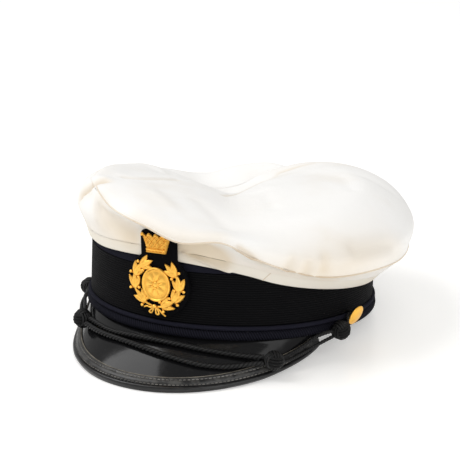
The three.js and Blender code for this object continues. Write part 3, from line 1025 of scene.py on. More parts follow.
@dataclass
class ChinCord:
    """Twisted chin cord over the peak, with its four ball knots and two eyes."""

    sides: int = 30
    ring_step: float = 0.42
    yarns: int = 3
    yarn_round: float = 0.6
    groove: float = 0.5
    knot_points: int = 48
    knot_sides: int = 10
    knot_radius: float = 6.5
    knot_strand: float = 0.82
    knot_weave: float = 0.5
    knot_turns: tuple[float, ...] = (-2.4, -0.8, 0.8, 2.4)
    ropes: tuple[Strand, ...] = (
        Strand("rope_upper", 3.4, 8.4, route(
            -52.6, -91, -2.3, -49, -92.7, -2.5, -43.5, -95.3, -2.9, -35, -99.1, -3.5, -25.9, -102, -3.5,
            -15.9, -103.6, -2.8, -2.9, -104.4, -2.4, 7.6, -104.1, -2.4, 19.9, -102.6, -2.8, 33.4, -99.7, -3.9,
            44, -95.6, -5, 52, -91.6, -6, 58.4, -88, -6.7, 64.9, -84.3, -7, 68.4, -82.2, -7.1)),
        Strand("rope_lower", 3.4, 8.4, route(
            -54, -93.5, -4.9, -50.4, -95.2, -5.1, -45.6, -97.8, -5.4, -41.5, -100, -5.4, -33.3, -103.2, -5.6,
            -19.6, -106.9, -5.6, -9.3, -109.1, -5.8, 0.6, -110.6, -6.4, 10.2, -111.3, -7.4, 19.2, -111, -8.5,
            32.1, -108.8, -10.3, 40.1, -105.9, -11.3, 49.7, -100.3, -12, 56, -95.2, -11.7, 61, -90.8, -11.1,
            65.9, -86.4, -10.5, 69.3, -84, -10.4)),
    )
    loops: tuple[Strand, ...] = (
        Strand("loop_left_front", 2.4, 6.0, route(
            -63.5, -84.8, -3.7, -65.1, -82.3, -3.5, -70, -75.2, -3.2, -74.6, -68.3, -3, -79, -61, -2.9,
            -83.4, -53, -3.2, -87.6, -44.8, -3.8, -91, -38, -4.8, -94.1, -32, -5.4, -95.4, -29.4, -5.1)),
        Strand("loop_left_back", 2.4, 6.0, route(
            -61.5, -83.7, -1.9, -63.2, -81.2, -1.6, -68.2, -73.8, -0.9, -73, -66.6, -0.6, -78, -59.5, -0.4,
            -83, -51.6, -0.7, -87, -43.4, -1.2, -90.6, -37.4, -2, -93.9, -32.3, -2.5, -95.3, -29.7, -2.3)),
        Strand("loop_right_front", 2.4, 6.0, route(
            76.9, -74.2, -10.5, 77.7, -71.3, -10.8, 79.2, -65.6, -10.4, 81.1, -60, -9.1, 83.2, -54.5, -7.6,
            85.3, -49.6, -6, 87.6, -45.4, -4.3, 89.6, -42.5, -2.9, 91.4, -39.8, -1.7, 92.9, -37.4, -0.7)),
        Strand("loop_right_back", 2.4, 6.0, route(
            75.6, -73.6, -8, 76.4, -70.7, -8.2, 77.4, -66.5, -7.9, 79.2, -61, -6.5, 81.3, -55.5, -4.5,
            83.4, -50.6, -2.2, 85.9, -46.4, 0.1, 88.6, -43.3, 1.6, 91, -40.6, 2.5, 92.4, -38.2, 3.1)),
    )
    eyes: tuple[Strand, ...] = (
        Strand("eye_left", 2.4, 6.0, route(
            -98.5, -19.1, 1.2, -98.6, -16.9, 3.2, -97, -15.2, 6.2, -95, -13.2, 8.5, -94.8, -11, 9.4,
            -95.7, -9.2, 9.7)),
        Strand("eye_right", 2.4, 6.0, route(
            96.5, -27, 5.5, 96.4, -24.7, 6.6, 94.6, -21.8, 8.4, 94.1, -19.2, 9.4, 94.8, -17.1, 9.7)),
    )
    knots: tuple[Knot, ...] = (
        Knot("knot_left_slide", Vector((-59, -89.5, -3.3)), Vector((0.9, -0.43, -0.05))),
        Knot("knot_right_slide", Vector((74.3, -79.9, -8.9)), Vector((0.65, 0.76, -0.04))),
        Knot("knot_left_button", Vector((-98.2, -23.9, -3)), Vector((0.3, -0.9, -0.4))),
        Knot("knot_right_button", Vector((95.9, -32.7, 2.8)), Vector((-0.35, -0.85, -0.4))),
    )

    def twist(self, strand: Strand) -> tuple[bpy.types.Object, list[Vector]]:
        """Lay up one strand from its yarns.

        Args:
            strand: Strand to make.

        Returns:
            The twisted piece and the centres of its rings.
        """
        points = SmoothPath(strand.points).evenly(self.ring_step)
        step = run_length(points) / (len(points) - 1)

        def raised(ring: int, turn: float) -> float:
            """Share by which the strand stands on a yarn rather than in a groove."""
            turned = turn + 2 * math.pi * ring * step / strand.lay
            return abs(math.cos(self.yarns / 2 * turned)) ** self.yarn_round

        def radius(ring: int, turn: float) -> float:
            """Radius of the strand at a ring and an angle round it."""
            return strand.diameter / 2 * (1 - self.groove * (1 - raised(ring, turn)))

        # The lay mark hands the raised share to the cord's material, which paints the crowns lit and the
        # grooves in shade.
        piece = BENCH.tube(strand.node + "_twist", points, self.sides, radius,
                           lay=lambda ring, side: raised(ring, 2 * math.pi * side / self.sides))
        return piece, points

    def knot_turn(self, knot: Knot, band: int, aside: float) -> list[Vector]:
        """Run of one turn round a ball knot, high over one band of turns and low under the other.

        Args:
            knot: Knot to follow.
            band: Number of the band, 0 to 2, each square to the others.
            aside: Distance of the turn from the ball's middle plane.

        Returns:
            Points of a closed run.
        """
        count = self.knot_points
        rise = knot.axis.normalized().to_track_quat("Z", "Y")
        middle = self.knot_radius - self.knot_strand - self.knot_weave
        points = []
        for i in range(count + 1):
            turn = 2 * math.pi * i / count
            reach = math.sqrt(middle ** 2 - aside ** 2) + self.knot_weave * math.cos(2 * turn)
            flat = [aside, reach * math.sin(turn), reach * math.cos(turn)]
            points.append(knot.middle + rise @ Vector(flat[3 - band:] + flat[:3 - band]))
        return points

    def tie(self, knot: Knot) -> bpy.types.Object:
        """Tie one ball knot of three crossing bands over a dark core, which has no lay mark and so takes the
        cord's painted-shade colour.

        Args:
            knot: Knot to tie.

        Returns:
            The knot as one piece.
        """
        # Each turn's lay mark paints one side of its strand lighter than the other, as painted light and
        # shade.
        turns = [
            BENCH.tube(f"{knot.node}_turn", self.knot_turn(knot, band, aside), self.knot_sides,
                       lambda ring, turn: self.knot_strand, closed_run=True,
                       lay=lambda ring, side: abs(math.cos(math.pi * side / self.knot_sides)))
            for band in range(3) for aside in self.knot_turns
        ]
        core_radius = self.knot_radius - 2 * (self.knot_strand + self.knot_weave)
        bpy.ops.object.select_all(action="DESELECT")
        place = POSE.place(knot.middle)
        bpy.ops.mesh.primitive_ico_sphere_add(subdivisions=3, radius=core_radius * MM, location=place)
        bpy.ops.object.transform_apply(location=True, rotation=True, scale=True)
        core = bpy.context.active_object
        bpy.ops.object.shade_smooth()
        return BENCH.join([*turns, core], knot.node + "_weave")

    def build(self) -> None:
        """Make the strands, eyes and knots."""
        tied: dict[str, bpy.types.Object] = {}
        for knot in self.knots:
            tied[knot.node] = WARDROBE.dress(self.tie(knot), Finish.CORD, "cord", knot.node)
        for eye in self.eyes:
            piece, _ = self.twist(eye)
            tied[eye.node] = WARDROBE.dress(piece, Finish.CORD, "cord", eye.node)
        carried = {
            "rope_upper": ("knot_left_slide", "knot_right_slide"),
            "loop_left_front": ("knot_left_button", "eye_left"),
            "loop_right_front": ("knot_right_button", "eye_right"),
        }
        for strand in (*self.ropes, *self.loops):
            piece, points = self.twist(strand)
            WARDROBE.dress(piece, Finish.CORD, "cord", strand.node)
            path = [POSE.place(point) for point in points]
            tuple(path[0])
            run_length(path)
            [tuple(p) for p in path]
            [tied[node] for node in carried.get(strand.node, ())]


@dataclass(frozen=True)
class CoverSection:
    """Section of the crown cover in one direction, as the CAD has it."""

    angle: float
    hem: float
    side_out: float
    side: float
    rim_out: float
    rim: float
    turn_in: float
    turn_up: float
    crest: float

    def lean(self, out: float, width: float) -> float:
        """How far a hem of a width, this far out at its foot, leans out at its top."""
        return HEM_LEAN * (self.side_out - out) * width / (self.side - self.hem)


@dataclass(frozen=True)
class Swell:
    """Broad rise or valley of the top panel."""

    x: float
    y: float
    long: float
    wide: float
    turn: float
    rise: float

    def at(self, x: float, y: float) -> float:
        """Height that it adds.

        Args:
            x: Place across the cap.
            y: Place along the cap.

        Returns:
            The height over that place.
        """
        cos, sin = math.cos(math.radians(self.turn)), math.sin(math.radians(self.turn))
        dx, dy = x - self.x, y - self.y
        along, across = (dx * cos + dy * sin) / self.long, (dy * cos - dx * sin) / self.wide
        return self.rise * math.exp(-along * along - across * across)


@dataclass(frozen=True)
class Fold:
    """Crease, pucker or dent of the cover along a run of points, and the painted shade, with some soil, that
    lies in it.
    """

    points: tuple[Vector, ...]
    rise: float
    width: float
    # Painted shade in the fold, with some soil.
    shade_and_soil: float = 0.0

    def distance(self, place: Vector) -> float:
        """Distance from the fold's run.

        Args:
            place: Place to measure from.

        Returns:
            The distance to the nearest point of the run.
        """
        nearest = math.inf
        for a, b in zip(self.points, self.points[1:]):
            run = b - a
            share = min(max((place - a).dot(run) / run.length_squared, 0.0), 1.0)
            nearest = min(nearest, (a + run * share - place).length)
        return nearest


@dataclass
class Crown:
    """Soft white cover: top panel, side panels, rim seam and doubled hem."""

    wall: float = 1.6
    out: float = 2.2
    tuck_out: float = 0.2
    tuck_down: float = 0.4
    panel_width: float = 40.0
    hem_width: float = 7.0
    hem_thickness: float = 1.7
    hem_girth: float = 18.0
    hem_corner: float = 0.3
    hem_foot: float = 0.5
    hem_head: float = 0.4
    hem_belly: float = 0.15
    hem_rows: int = 12
    joint_angles: Pair = (41.0, 43.5)
    joint_points: int = 14
    joint_radius: float = 0.25
    joint_out: float = 0.1
    joint_shade_and_soil: float = 0.5
    crest_share: float = 0.75
    crest_steps: int = 44
    waves: int = 5
    columns: int = 360
    side_rows: int = 24
    top_rows: int = 91
    shares: tuple[float, ...] = (0.75, 0.57, 0.4, 0.22, 0.08)
    seam_sides: int = 8
    seam_radius: float = 0.5
    flat_seam_radius: float = 0.08
    flat_seam: Pair = (-170.0, -38.5)
    fold_reach: float = 4.0
    # Painted shade: how far fold shade spreads, and how the cover darkens low down towards the front.
    shade_and_soil_spread: float = 1.7
    low_shade: float = 0.55
    low_shade_from: float = 88.0
    low_shade_span: float = 22.0
    low_shade_back: float = 60.0
    sections: tuple[CoverSection, ...] = tuple(CoverSection(*numbers) for numbers in (
        (-165, 33, 8, 73, -1, 68, 5, 2, 67), (-150, 36, 8, 70, -16, 60, 6, 1, 62),
        (-135, 38, 9, 63, -17, 59, 6, 1, 61), (-120, 41, 9, 68, -8, 66, 5, 2, 66.5),
        (-105, 43, 10, 72, -2, 73.5, 5, 3, 72.5), (-85, 45, 11, 74, -1, 78.5, 5, 3, 78),
        (-60, 45.5, 11, 69, -3, 84, 4, 2, 82), (-45, 45.5, 9, 67, 2, 82, 4, 2, 83),
        (-30, 45.5, 6, 66, 5, 80, 4, 3, 83), (-15, 47, 3.4, 66, 11, 75, 4, 4, 81),
        (0, 48, 3.2, 68, 15, 70, 3, 5, 78), (13, 47.2, 3.4, 67, 18, 63.4, 2, 6, 74),
        (26, 44.5, 8, 58, 18, 65, 3, 4, 69), (36, 41, 8, 51, 17, 56, 1, 8, 68),
        (46, 36, 8, 46, 16, 48.5, -1, 11, 70), (60, 31, 12, 40, 18, 42, -2, 13, 72),
        (80, 26, 14, 37, 20, 41, -2, 14, 74), (100, 23, 16, 36, 22, 42, -2, 15, 77),
        (120, 23, 15.5, 39, 21, 48, -2, 14, 80), (140, 25, 12, 47, 17, 60, 0, 13, 82),
        (160, 28, 10, 56, 12, 70, 3, 9, 81), (178, 31, 9, 65, 6, 75, 5, 3, 74),
    ))
    swells: tuple[Swell, ...] = (Swell(-4, 6, 80, 20, -60, -7), Swell(50, 20, 40, 36, 0, 3))
    # The last number of each fold is its painted shade, with some soil; the folds that do not rise are
    # painted shade alone.
    folds: tuple[Fold, ...] = (
        Fold(route(-55, -75, 84, -61, -78, 80, -74, -71, 72), -3.0, 2.8, 0.9),
        Fold(route(-58, -69, 84, -77, -62, 76), 1.6, 5.0),
        Fold(route(-54, -84, 81, -67, -78, 72), 1.5, 2.6),
        Fold(route(-52, -86, 79, -51, -89, 64), 0.9, 3.0),
        Fold(route(-45, -92, 70, -29, -96, 64, -18, -98, 60), -1.9, 6.0, 0.6),
        Fold(route(-51, -89, 77, -42, -94, 73, -34, -98, 71), 1.0, 2.2),
        Fold(route(-54, -52, 83, -48, -44, 82, -40, -9, 76), -0.9, 1.8, 0.3),
        Fold(route(-58, -48, 83, -50, -38, 82, -46, -9, 77), 0.8, 3.5),
        Fold(route(-92, 12, 75, -70, 22, 74), 1.3, 3.5),
        Fold(route(82, -78, 55, 79, -78, 49), -1.1, 2.2, 0.18),
        Fold(route(89, -70, 52, 88, -69, 47), -1.0, 2.0, 0.16),
        Fold(route(96, -61, 55, 95, -60, 47), -1.3, 2.4, 0.2),
        Fold(route(85, -74, 53, 84, -73, 47), 0.7, 1.8),
        Fold(route(93, -65, 54, 91, -64, 45), 0.9, 2.0),
        Fold(route(100, -50, 52, 99, -49, 45), 0.6, 2.2),
        Fold(route(105, -38, 57, 115, -6, 55), -2.2, 5.0, 0.25),
        Fold(route(106, -38, 49, 116, -6, 47), 0.9, 3.5),
        Fold(route(57, -98, 62, 62, -95, 58, 66, -86, 51), -1.2, 1.6, 0.6),
        Fold(route(14, -98, 58, 36, -95, 56, 43, -91, 52), -0.5, 4.0, 0.6),
        Fold(route(19.7, -98.3, 53.5, 32.5, -94.7, 49.5, 46.1, -88.3, 44), 1.7, 1.1),
        Fold(route(26, -97, 53.5, 36, -93, 50.5, 43, -90, 48.5), -0.6, 2.4, 0.5),
        Fold(route(-6, -112, 71, 18, -114, 66, 31, -112, 65.5, 45, -105, 66), 0.0, 5.5, 0.42),
        Fold(route(18, -99, 60, 30, -97, 59, 43, -96, 57.5), 0.0, 3.5, 0.4),
        Fold(route(-44, -91, 58, -27, -96, 55, -14, -99, 54.5), 0.0, 5.0, 0.15),
        Fold(route(14, 11, 73, 43, -30, 73), -0.8, 5.0),
        Fold(route(54, 48, 82, 73, 22, 80), -0.7, 4.0),
        Fold(route(0, -50, 74, 40, -80, 70), -0.8, 6.0, 0.08),
        Fold(route(-20, -70, 80, 5, -88, 77), 0.7, 5.0),
        Fold(route(10, 93, 77, -12, 82, 72, -9, 58, 69, -10, 24, 66, -7, -4, 69), -0.9, 1.3, 0.45),
        Fold(route(-30, 60, 68, -60, 30, 70), 0.8, 6.0),
        Fold(route(60, 60, 82, 85, 60, 78), -0.8, 6.0),
        Fold(route(-80, -30, 80, -95, -20, 66), -1.0, 4.0, 0.15),
        Fold(route(-88, 30, 68, -70, 72, 62), 1.2, 7.0),
        Fold(route(40, 96, 62, 46, 92, 42), -1.2, 4.0, 0.15),
        Fold(route(10, 106, 62, 8, 103, 42), -1.0, 4.5, 0.15),
        Fold(route(-40, 92, 62, -42, 90, 46), -1.2, 4.0, 0.15),
    )
    crest_waves: list[Pair] = field(default_factory=list)

    def section_at(self, angle: float) -> CoverSection:
        """Section at any angle, on a smooth curve round the head.

        Args:
            angle: Degrees from the front.

        Returns:
            The section there.
        """
        count, first = len(self.sections), self.sections[0].angle
        wrapped = (angle - first) % 360 + first
        row = max(i for i, section in enumerate(self.sections) if section.angle <= wrapped + 1e-9)

        def at(step: int) -> tuple[float, ...]:
            """Numbers of a section nearby.

            Args:
                step: How many sections on it is.

            Returns:
                Its numbers, the angle unwrapped.
            """
            turns, index = divmod(row + step, count)
            angle_there, *rest = astuple(self.sections[index])
            return (angle_there + 360 * turns, *rest)

        before, start, end, after = at(-1), at(0), at(1), at(2)
        span = end[0] - start[0]
        t = (wrapped - start[0]) / span
        t2, t3 = t * t, t * t * t
        values = []
        for b, s, e, a in zip(before, start, end, after):
            leave = (e - b) / (end[0] - before[0]) * span
            arrive = (a - s) / (after[0] - start[0]) * span
            values.append((2 * t3 - 3 * t2 + 1) * s + (t3 - 2 * t2 + t) * leave
                          + (3 * t2 - 2 * t3) * e + (t3 - t2) * arrive)
        return CoverSection(*values)

    def measure_crest(self) -> None:
        """Take the crest line apart into waves round the head."""
        count = self.crest_steps
        angles = [-180 + 360 * i / count for i in range(count)]
        crests = [self.section_at(angle).crest for angle in angles]

        def part(k: int, wave: Callable[[float], float]) -> float:
            """Share of one wave in the crest line."""
            total = sum(crest * wave(math.radians(angle * k)) for angle, crest in zip(angles, crests))
            return (2 if k else 1) / count * total

        self.crest_waves = [(part(k, math.cos), part(k, math.sin)) for k in range(self.waves + 1)]

    def top_height(self, angle: float, share: float, x: float, y: float) -> float:
        """Height of the top panel: each wave of its crest fades towards the middle.

        Args:
            angle: Degrees from the front.
            share: Share of the way out to the rim.
            x: Place across the cap.
            y: Place along the cap.

        Returns:
            The height over the lower rim.
        """
        hung = sum((share / self.crest_share) ** k * (c * math.cos(math.radians(angle * k))
                                                      + s * math.sin(math.radians(angle * k)))
                   for k, (c, s) in enumerate(self.crest_waves))
        return hung + sum(swell.at(x, y) for swell in self.swells)

    def curves(self, angle: float) -> tuple[SmoothPath, SmoothPath]:
        """Curves of the cover at an angle.

        Args:
            angle: Degrees from the front.

        Returns:
            The side panel from hem to rim, and the top panel from rim to middle.
        """
        s = self.section_at(angle)
        foot = OVAL.point(angle, self.out + s.lean(self.out, self.hem_width) + self.tuck_out,
                          s.hem + self.hem_width - self.tuck_down)
        side = OVAL.point(angle, s.side_out, s.side)
        rim = OVAL.point(angle, s.rim_out, s.rim)
        turn = OVAL.point(angle, s.rim_out - s.turn_in, s.rim + s.turn_up)
        inner = []
        for share in (*self.shares, 0.0):
            x, y = rim.x * share, rim.y * share
            inner.append(Vector((x, y, self.top_height(angle, share, x, y))))
        return SmoothPath([foot, side, rim]), SmoothPath([rim, turn, *inner])

    def crumple(self, piece: bpy.types.Object, low_shade: float, way: Vector | None = None) -> None:
        """Push folds into a panel and mark the painted shade, with some soil, in them and low down at the
        front.

        Args:
            piece: Panel before it gets its wall.
            low_shade: Painted shade that the panel has low down at the front, besides that of its folds.
            way: Direction in which it is pushed, by default each vertex's own outwards.
        """
        folds = [Fold(tuple(POSE.place(p) for p in fold.points), fold.rise * MM, fold.width * MM, fold.shade_and_soil)
                 for fold in self.folds]
        moves, marks = [], []
        for vertex in piece.data.vertices:
            spans = [(fold, fold.distance(vertex.co) / fold.width) for fold in folds]
            near = [(fold, span) for fold, span in spans if span < self.fold_reach]
            outward = vertex.normal if way is None else way
            moves.append(outward * sum(fold.rise * bell(span) for fold, span in near))
            # Painted shade: darker lower down and towards the front, plus the painted shade, with some soil,
            # of nearby folds.
            low = min(max((self.low_shade_from - vertex.co.z / MM) / self.low_shade_span, 0.0), 1.0)
            grime = low_shade * low * min(max(0.5 - vertex.co.y / MM / self.low_shade_back, 0.0), 1.0)
            grime += sum(fold.shade_and_soil * bell(span / self.shade_and_soil_spread) for fold, span in near)
            marks.append(min(grime, 1.0))
        layer = piece.data.attributes.new("shade_and_soil", "FLOAT", "POINT")
        for vertex, move, mark, item in zip(piece.data.vertices, moves, marks, layer.data):
            vertex.co = vertex.co + move
            item.value = mark

    def panel(self, name: str, rows: int, shape: Shape, out: Vector) -> bpy.types.Object:
        """Cut one panel, crumple it and give it its wall.

        Args:
            name: Name of the panel.
            rows: Faces from its outer edge inwards.
            shape: Place of its vertices.
            out: A direction in which its farthest face looks outwards.

        Returns:
            The panel.
        """
        size = (OVAL.length(), self.panel_width)
        piece = BENCH.sheet(name, self.columns, rows, shape, size, closed=False)
        self.face_out(piece, out)
        self.crumple(piece, self.low_shade)
        BENCH.thicken(piece, self.wall)
        return piece

    def build(self) -> None:
        """Make the panels, the rim seam and the hem."""
        self.measure_crest()
        angles = [-180 + 360 * i / self.columns for i in range(self.columns + 1)]
        curves = [self.curves(angle) for angle in angles]
        curves[-1] = curves[0]
        leftwards, upwards = Vector((1, 0, 0)), Vector((0, 0, 1))
        side = self.panel("cover_side", self.side_rows,
                          lambda i, j: curves[i][0].point(j / self.side_rows), leftwards)
        top = self.panel("cover_top", self.top_rows,
                         lambda i, j: curves[i][1].point(j / self.top_rows), upwards)
        low, high = self.flat_seam
        radii = [self.flat_seam_radius if low < angle < high else self.seam_radius for angle in angles]
        seam = BENCH.tube("cover_rim_seam", [curve[1].point(0.0) for curve in curves], self.seam_sides,
                          lambda ring, turn: radii[ring], closed_run=True)
        self.crumple(seam, self.low_shade, upwards)
        hem, joint = self.hem(angles), self.hem_joint()
        self.crumple(hem, 0.0)
        # The hem joint takes a fixed share of painted shade, with some soil.
        add_mark(joint, "shade_and_soil", lambda co: self.joint_shade_and_soil)
        WARDROBE.dress(side, Finish.WHITE, "white_cloth", "crown_side")
        WARDROBE.dress(top, Finish.WHITE, "white_cloth", "crown_top")
        WARDROBE.dress(seam, Finish.SEAM, "white_cloth")
        WARDROBE.dress(hem, Finish.HEM, "hem_cloth", "crown_hem")
        WARDROBE.dress(joint, Finish.SEAM, "hem_cloth")

    def face_out(self, piece: bpy.types.Object, way: Vector) -> None:
        """Turn an open sheet's faces outwards.

        Args:
            piece: Sheet to turn.
            way: Direction in which its farthest face should look.
        """
        far = max(piece.data.polygons, key=lambda face: face.center.dot(way))
        if far.normal.dot(way) < 0:
            piece.data.flip_normals()

    def hem(self, angles: Sequence[float]) -> bpy.types.Object:
        """Make the doubled hem strip.

        Args:
            angles: Degrees of its columns.

        Returns:
            The hem.
        """
        high, front, back = self.hem_width, self.out - self.hem_corner, self.out - self.hem_thickness
        heights = [mixed(self.hem_foot, high - self.hem_head, i / self.hem_rows)
                   for i in range(self.hem_rows + 1)]
        face = [(self.out + self.hem_belly * math.sin(math.pi * up / high), up) for up in heights]
        section = ((back, self.hem_corner), (back + self.hem_foot, 0.0), (front, 0.0), *face, (front, high),
                   (back + self.hem_corner, high), (back, high - self.hem_corner))
        sections = [self.section_at(angle) for angle in angles]
        leans = [there.lean(self.out, high) / high for there in sections]

        def place(i: int, j: int) -> Vector:
            """Point of the hem at a column and a corner of its section."""
            out, up = section[j % len(section)]
            return OVAL.point(angles[i], out + leans[i] * up, sections[i].hem + up)

        size = (OVAL.length(), self.hem_girth)
        return BENCH.sheet("cover_hem", self.columns, len(section), place, size)

    def hem_joint(self) -> bpy.types.Object:
        """Make the slanting seam where the two ends of the hem strip are sewn together.

        Returns:
            The seam.
        """
        run = []
        for i in range(self.joint_points + 1):
            share = i / self.joint_points
            angle = mixed(*self.joint_angles, share)
            there = self.section_at(angle)
            out = self.out + there.lean(self.out, self.hem_width) * share + self.joint_out
            run.append(OVAL.point(angle, out, there.hem + self.hem_width * share))
        return BENCH.tube("cover_hem_joint", run, self.seam_sides, lambda ring, turn: self.joint_radius)


@dataclass
class Band:
    """Ribbed braid band, the navy cloth above it and the welt below it."""

    columns: int = 220
    wall: float = 2.0
    low: float = 9.2
    high: float = 41.2
    rib_pitch: float = 1.45
    rib_depth: float = 0.28
    rib_round: float = 0.6
    rib_steps: int = 6
    tuck: float = 1.0
    tuck_inset: float = 0.4
    cloth_gap: float = 0.3
    cloth_inset: float = 0.5
    cloth_wall: float = 1.8
    cloth_middle: float = 49.0
    cloth_high: float = 53.0
    cloth_round: float = 0.4
    piping_sides: int = 14
    piping_radius: float = 1.4
    piping_out: float = 0.4
    piping_height: float = 7.5
    roll: tuple[Pair, ...] = (
        (-2.0, 0.4), (-0.9, 0.05), (0.2, 0.0), (1.0, 0.25), (1.7, 0.9), (2.15, 1.7), (2.3, 2.6), (2.1, 3.7),
        (1.6, 4.7), (0.9, 5.4), (0.2, 5.8), (-2.0, 5.8),
    )

    def ring(self, name: str, section: Sequence[Pair], width: float, **marks: Amount) -> bpy.types.Object:
        """Sweep a closed section round the head.

        Args:
            name: Name of the piece.
            section: Corners of the section, out from the band and up.
            width: Length round the section, for the UV map.
            marks: Numbers for the material at a column and corner, each under its name.

        Returns:
            The ring.
        """
        def place(i: int, j: int) -> Vector:
            """Point of the ring at a column and a corner."""
            out, up = section[j % len(section)]
            return OVAL.point(-180 + 360 * (i % self.columns) / self.columns, out, up)

        return BENCH.sheet(name, self.columns, len(section), place, (OVAL.length(), width), **marks)

    def rib_height(self, up: float) -> float:
        """How far the braid stands out at a height: rounded ribs with narrow grooves."""
        wave = abs(math.sin(math.pi * (up - self.low) / self.rib_pitch))
        return self.rib_depth * (wave ** self.rib_round - 1)

    def build(self) -> None:
        """Make the braid, cloth, piping and roll."""
        ribs = round((self.high - self.low) / self.rib_pitch)
        self.rib_pitch = (self.high - self.low) / ribs
        steps = ribs * self.rib_steps
        heights = [mixed(self.low, self.high, i / steps) for i in range(steps + 1)]
        face = [(self.rib_height(up), up) for up in heights]
        foot = self.low - self.tuck
        section = [(-self.wall, foot), (-self.tuck_inset, foot), *face, (-self.wall, self.high)]
        # The rib mark is 1 on each rib's crest and 0 in its groove, for the braid's painted light and shade.
        braid = self.ring("band_braid", section, width=80,
                          rib=lambda i, j: 1 + min(section[j % len(section)][0], 0.0) / self.rib_depth)
        BENCH.crease(braid, 60)
        front, back = -self.cloth_inset, -self.cloth_inset - self.cloth_wall
        low, bend = self.high + self.cloth_gap, self.cloth_high - self.cloth_round
        cloth = self.ring("band_cloth", (
            (back, low), (front, low), (front, self.cloth_middle), (front, bend),
            (front - self.cloth_round, self.cloth_high), (back + self.cloth_round, self.cloth_high),
            (back, bend)), width=20)
        BENCH.crease(cloth, 50)
        turns = [2 * math.pi * i / self.piping_sides for i in range(self.piping_sides)]
        piping = self.ring("welt_piping_cord", [
            (self.piping_out + self.piping_radius * math.cos(turn),
             self.piping_height + self.piping_radius * math.sin(turn)) for turn in turns], width=8.8)
        roll = self.ring("welt_roll_cloth", self.roll, width=20)
        WARDROBE.dress(braid, Finish.BRAID, "braid", "band")
        WARDROBE.dress(cloth, Finish.NAVY, "navy_cloth", "body_cloth")
        WARDROBE.dress(piping, Finish.NAVY, "navy_cloth", "welt_piping")
        WARDROBE.dress(roll, Finish.ROLL, "navy_cloth", "welt_roll")


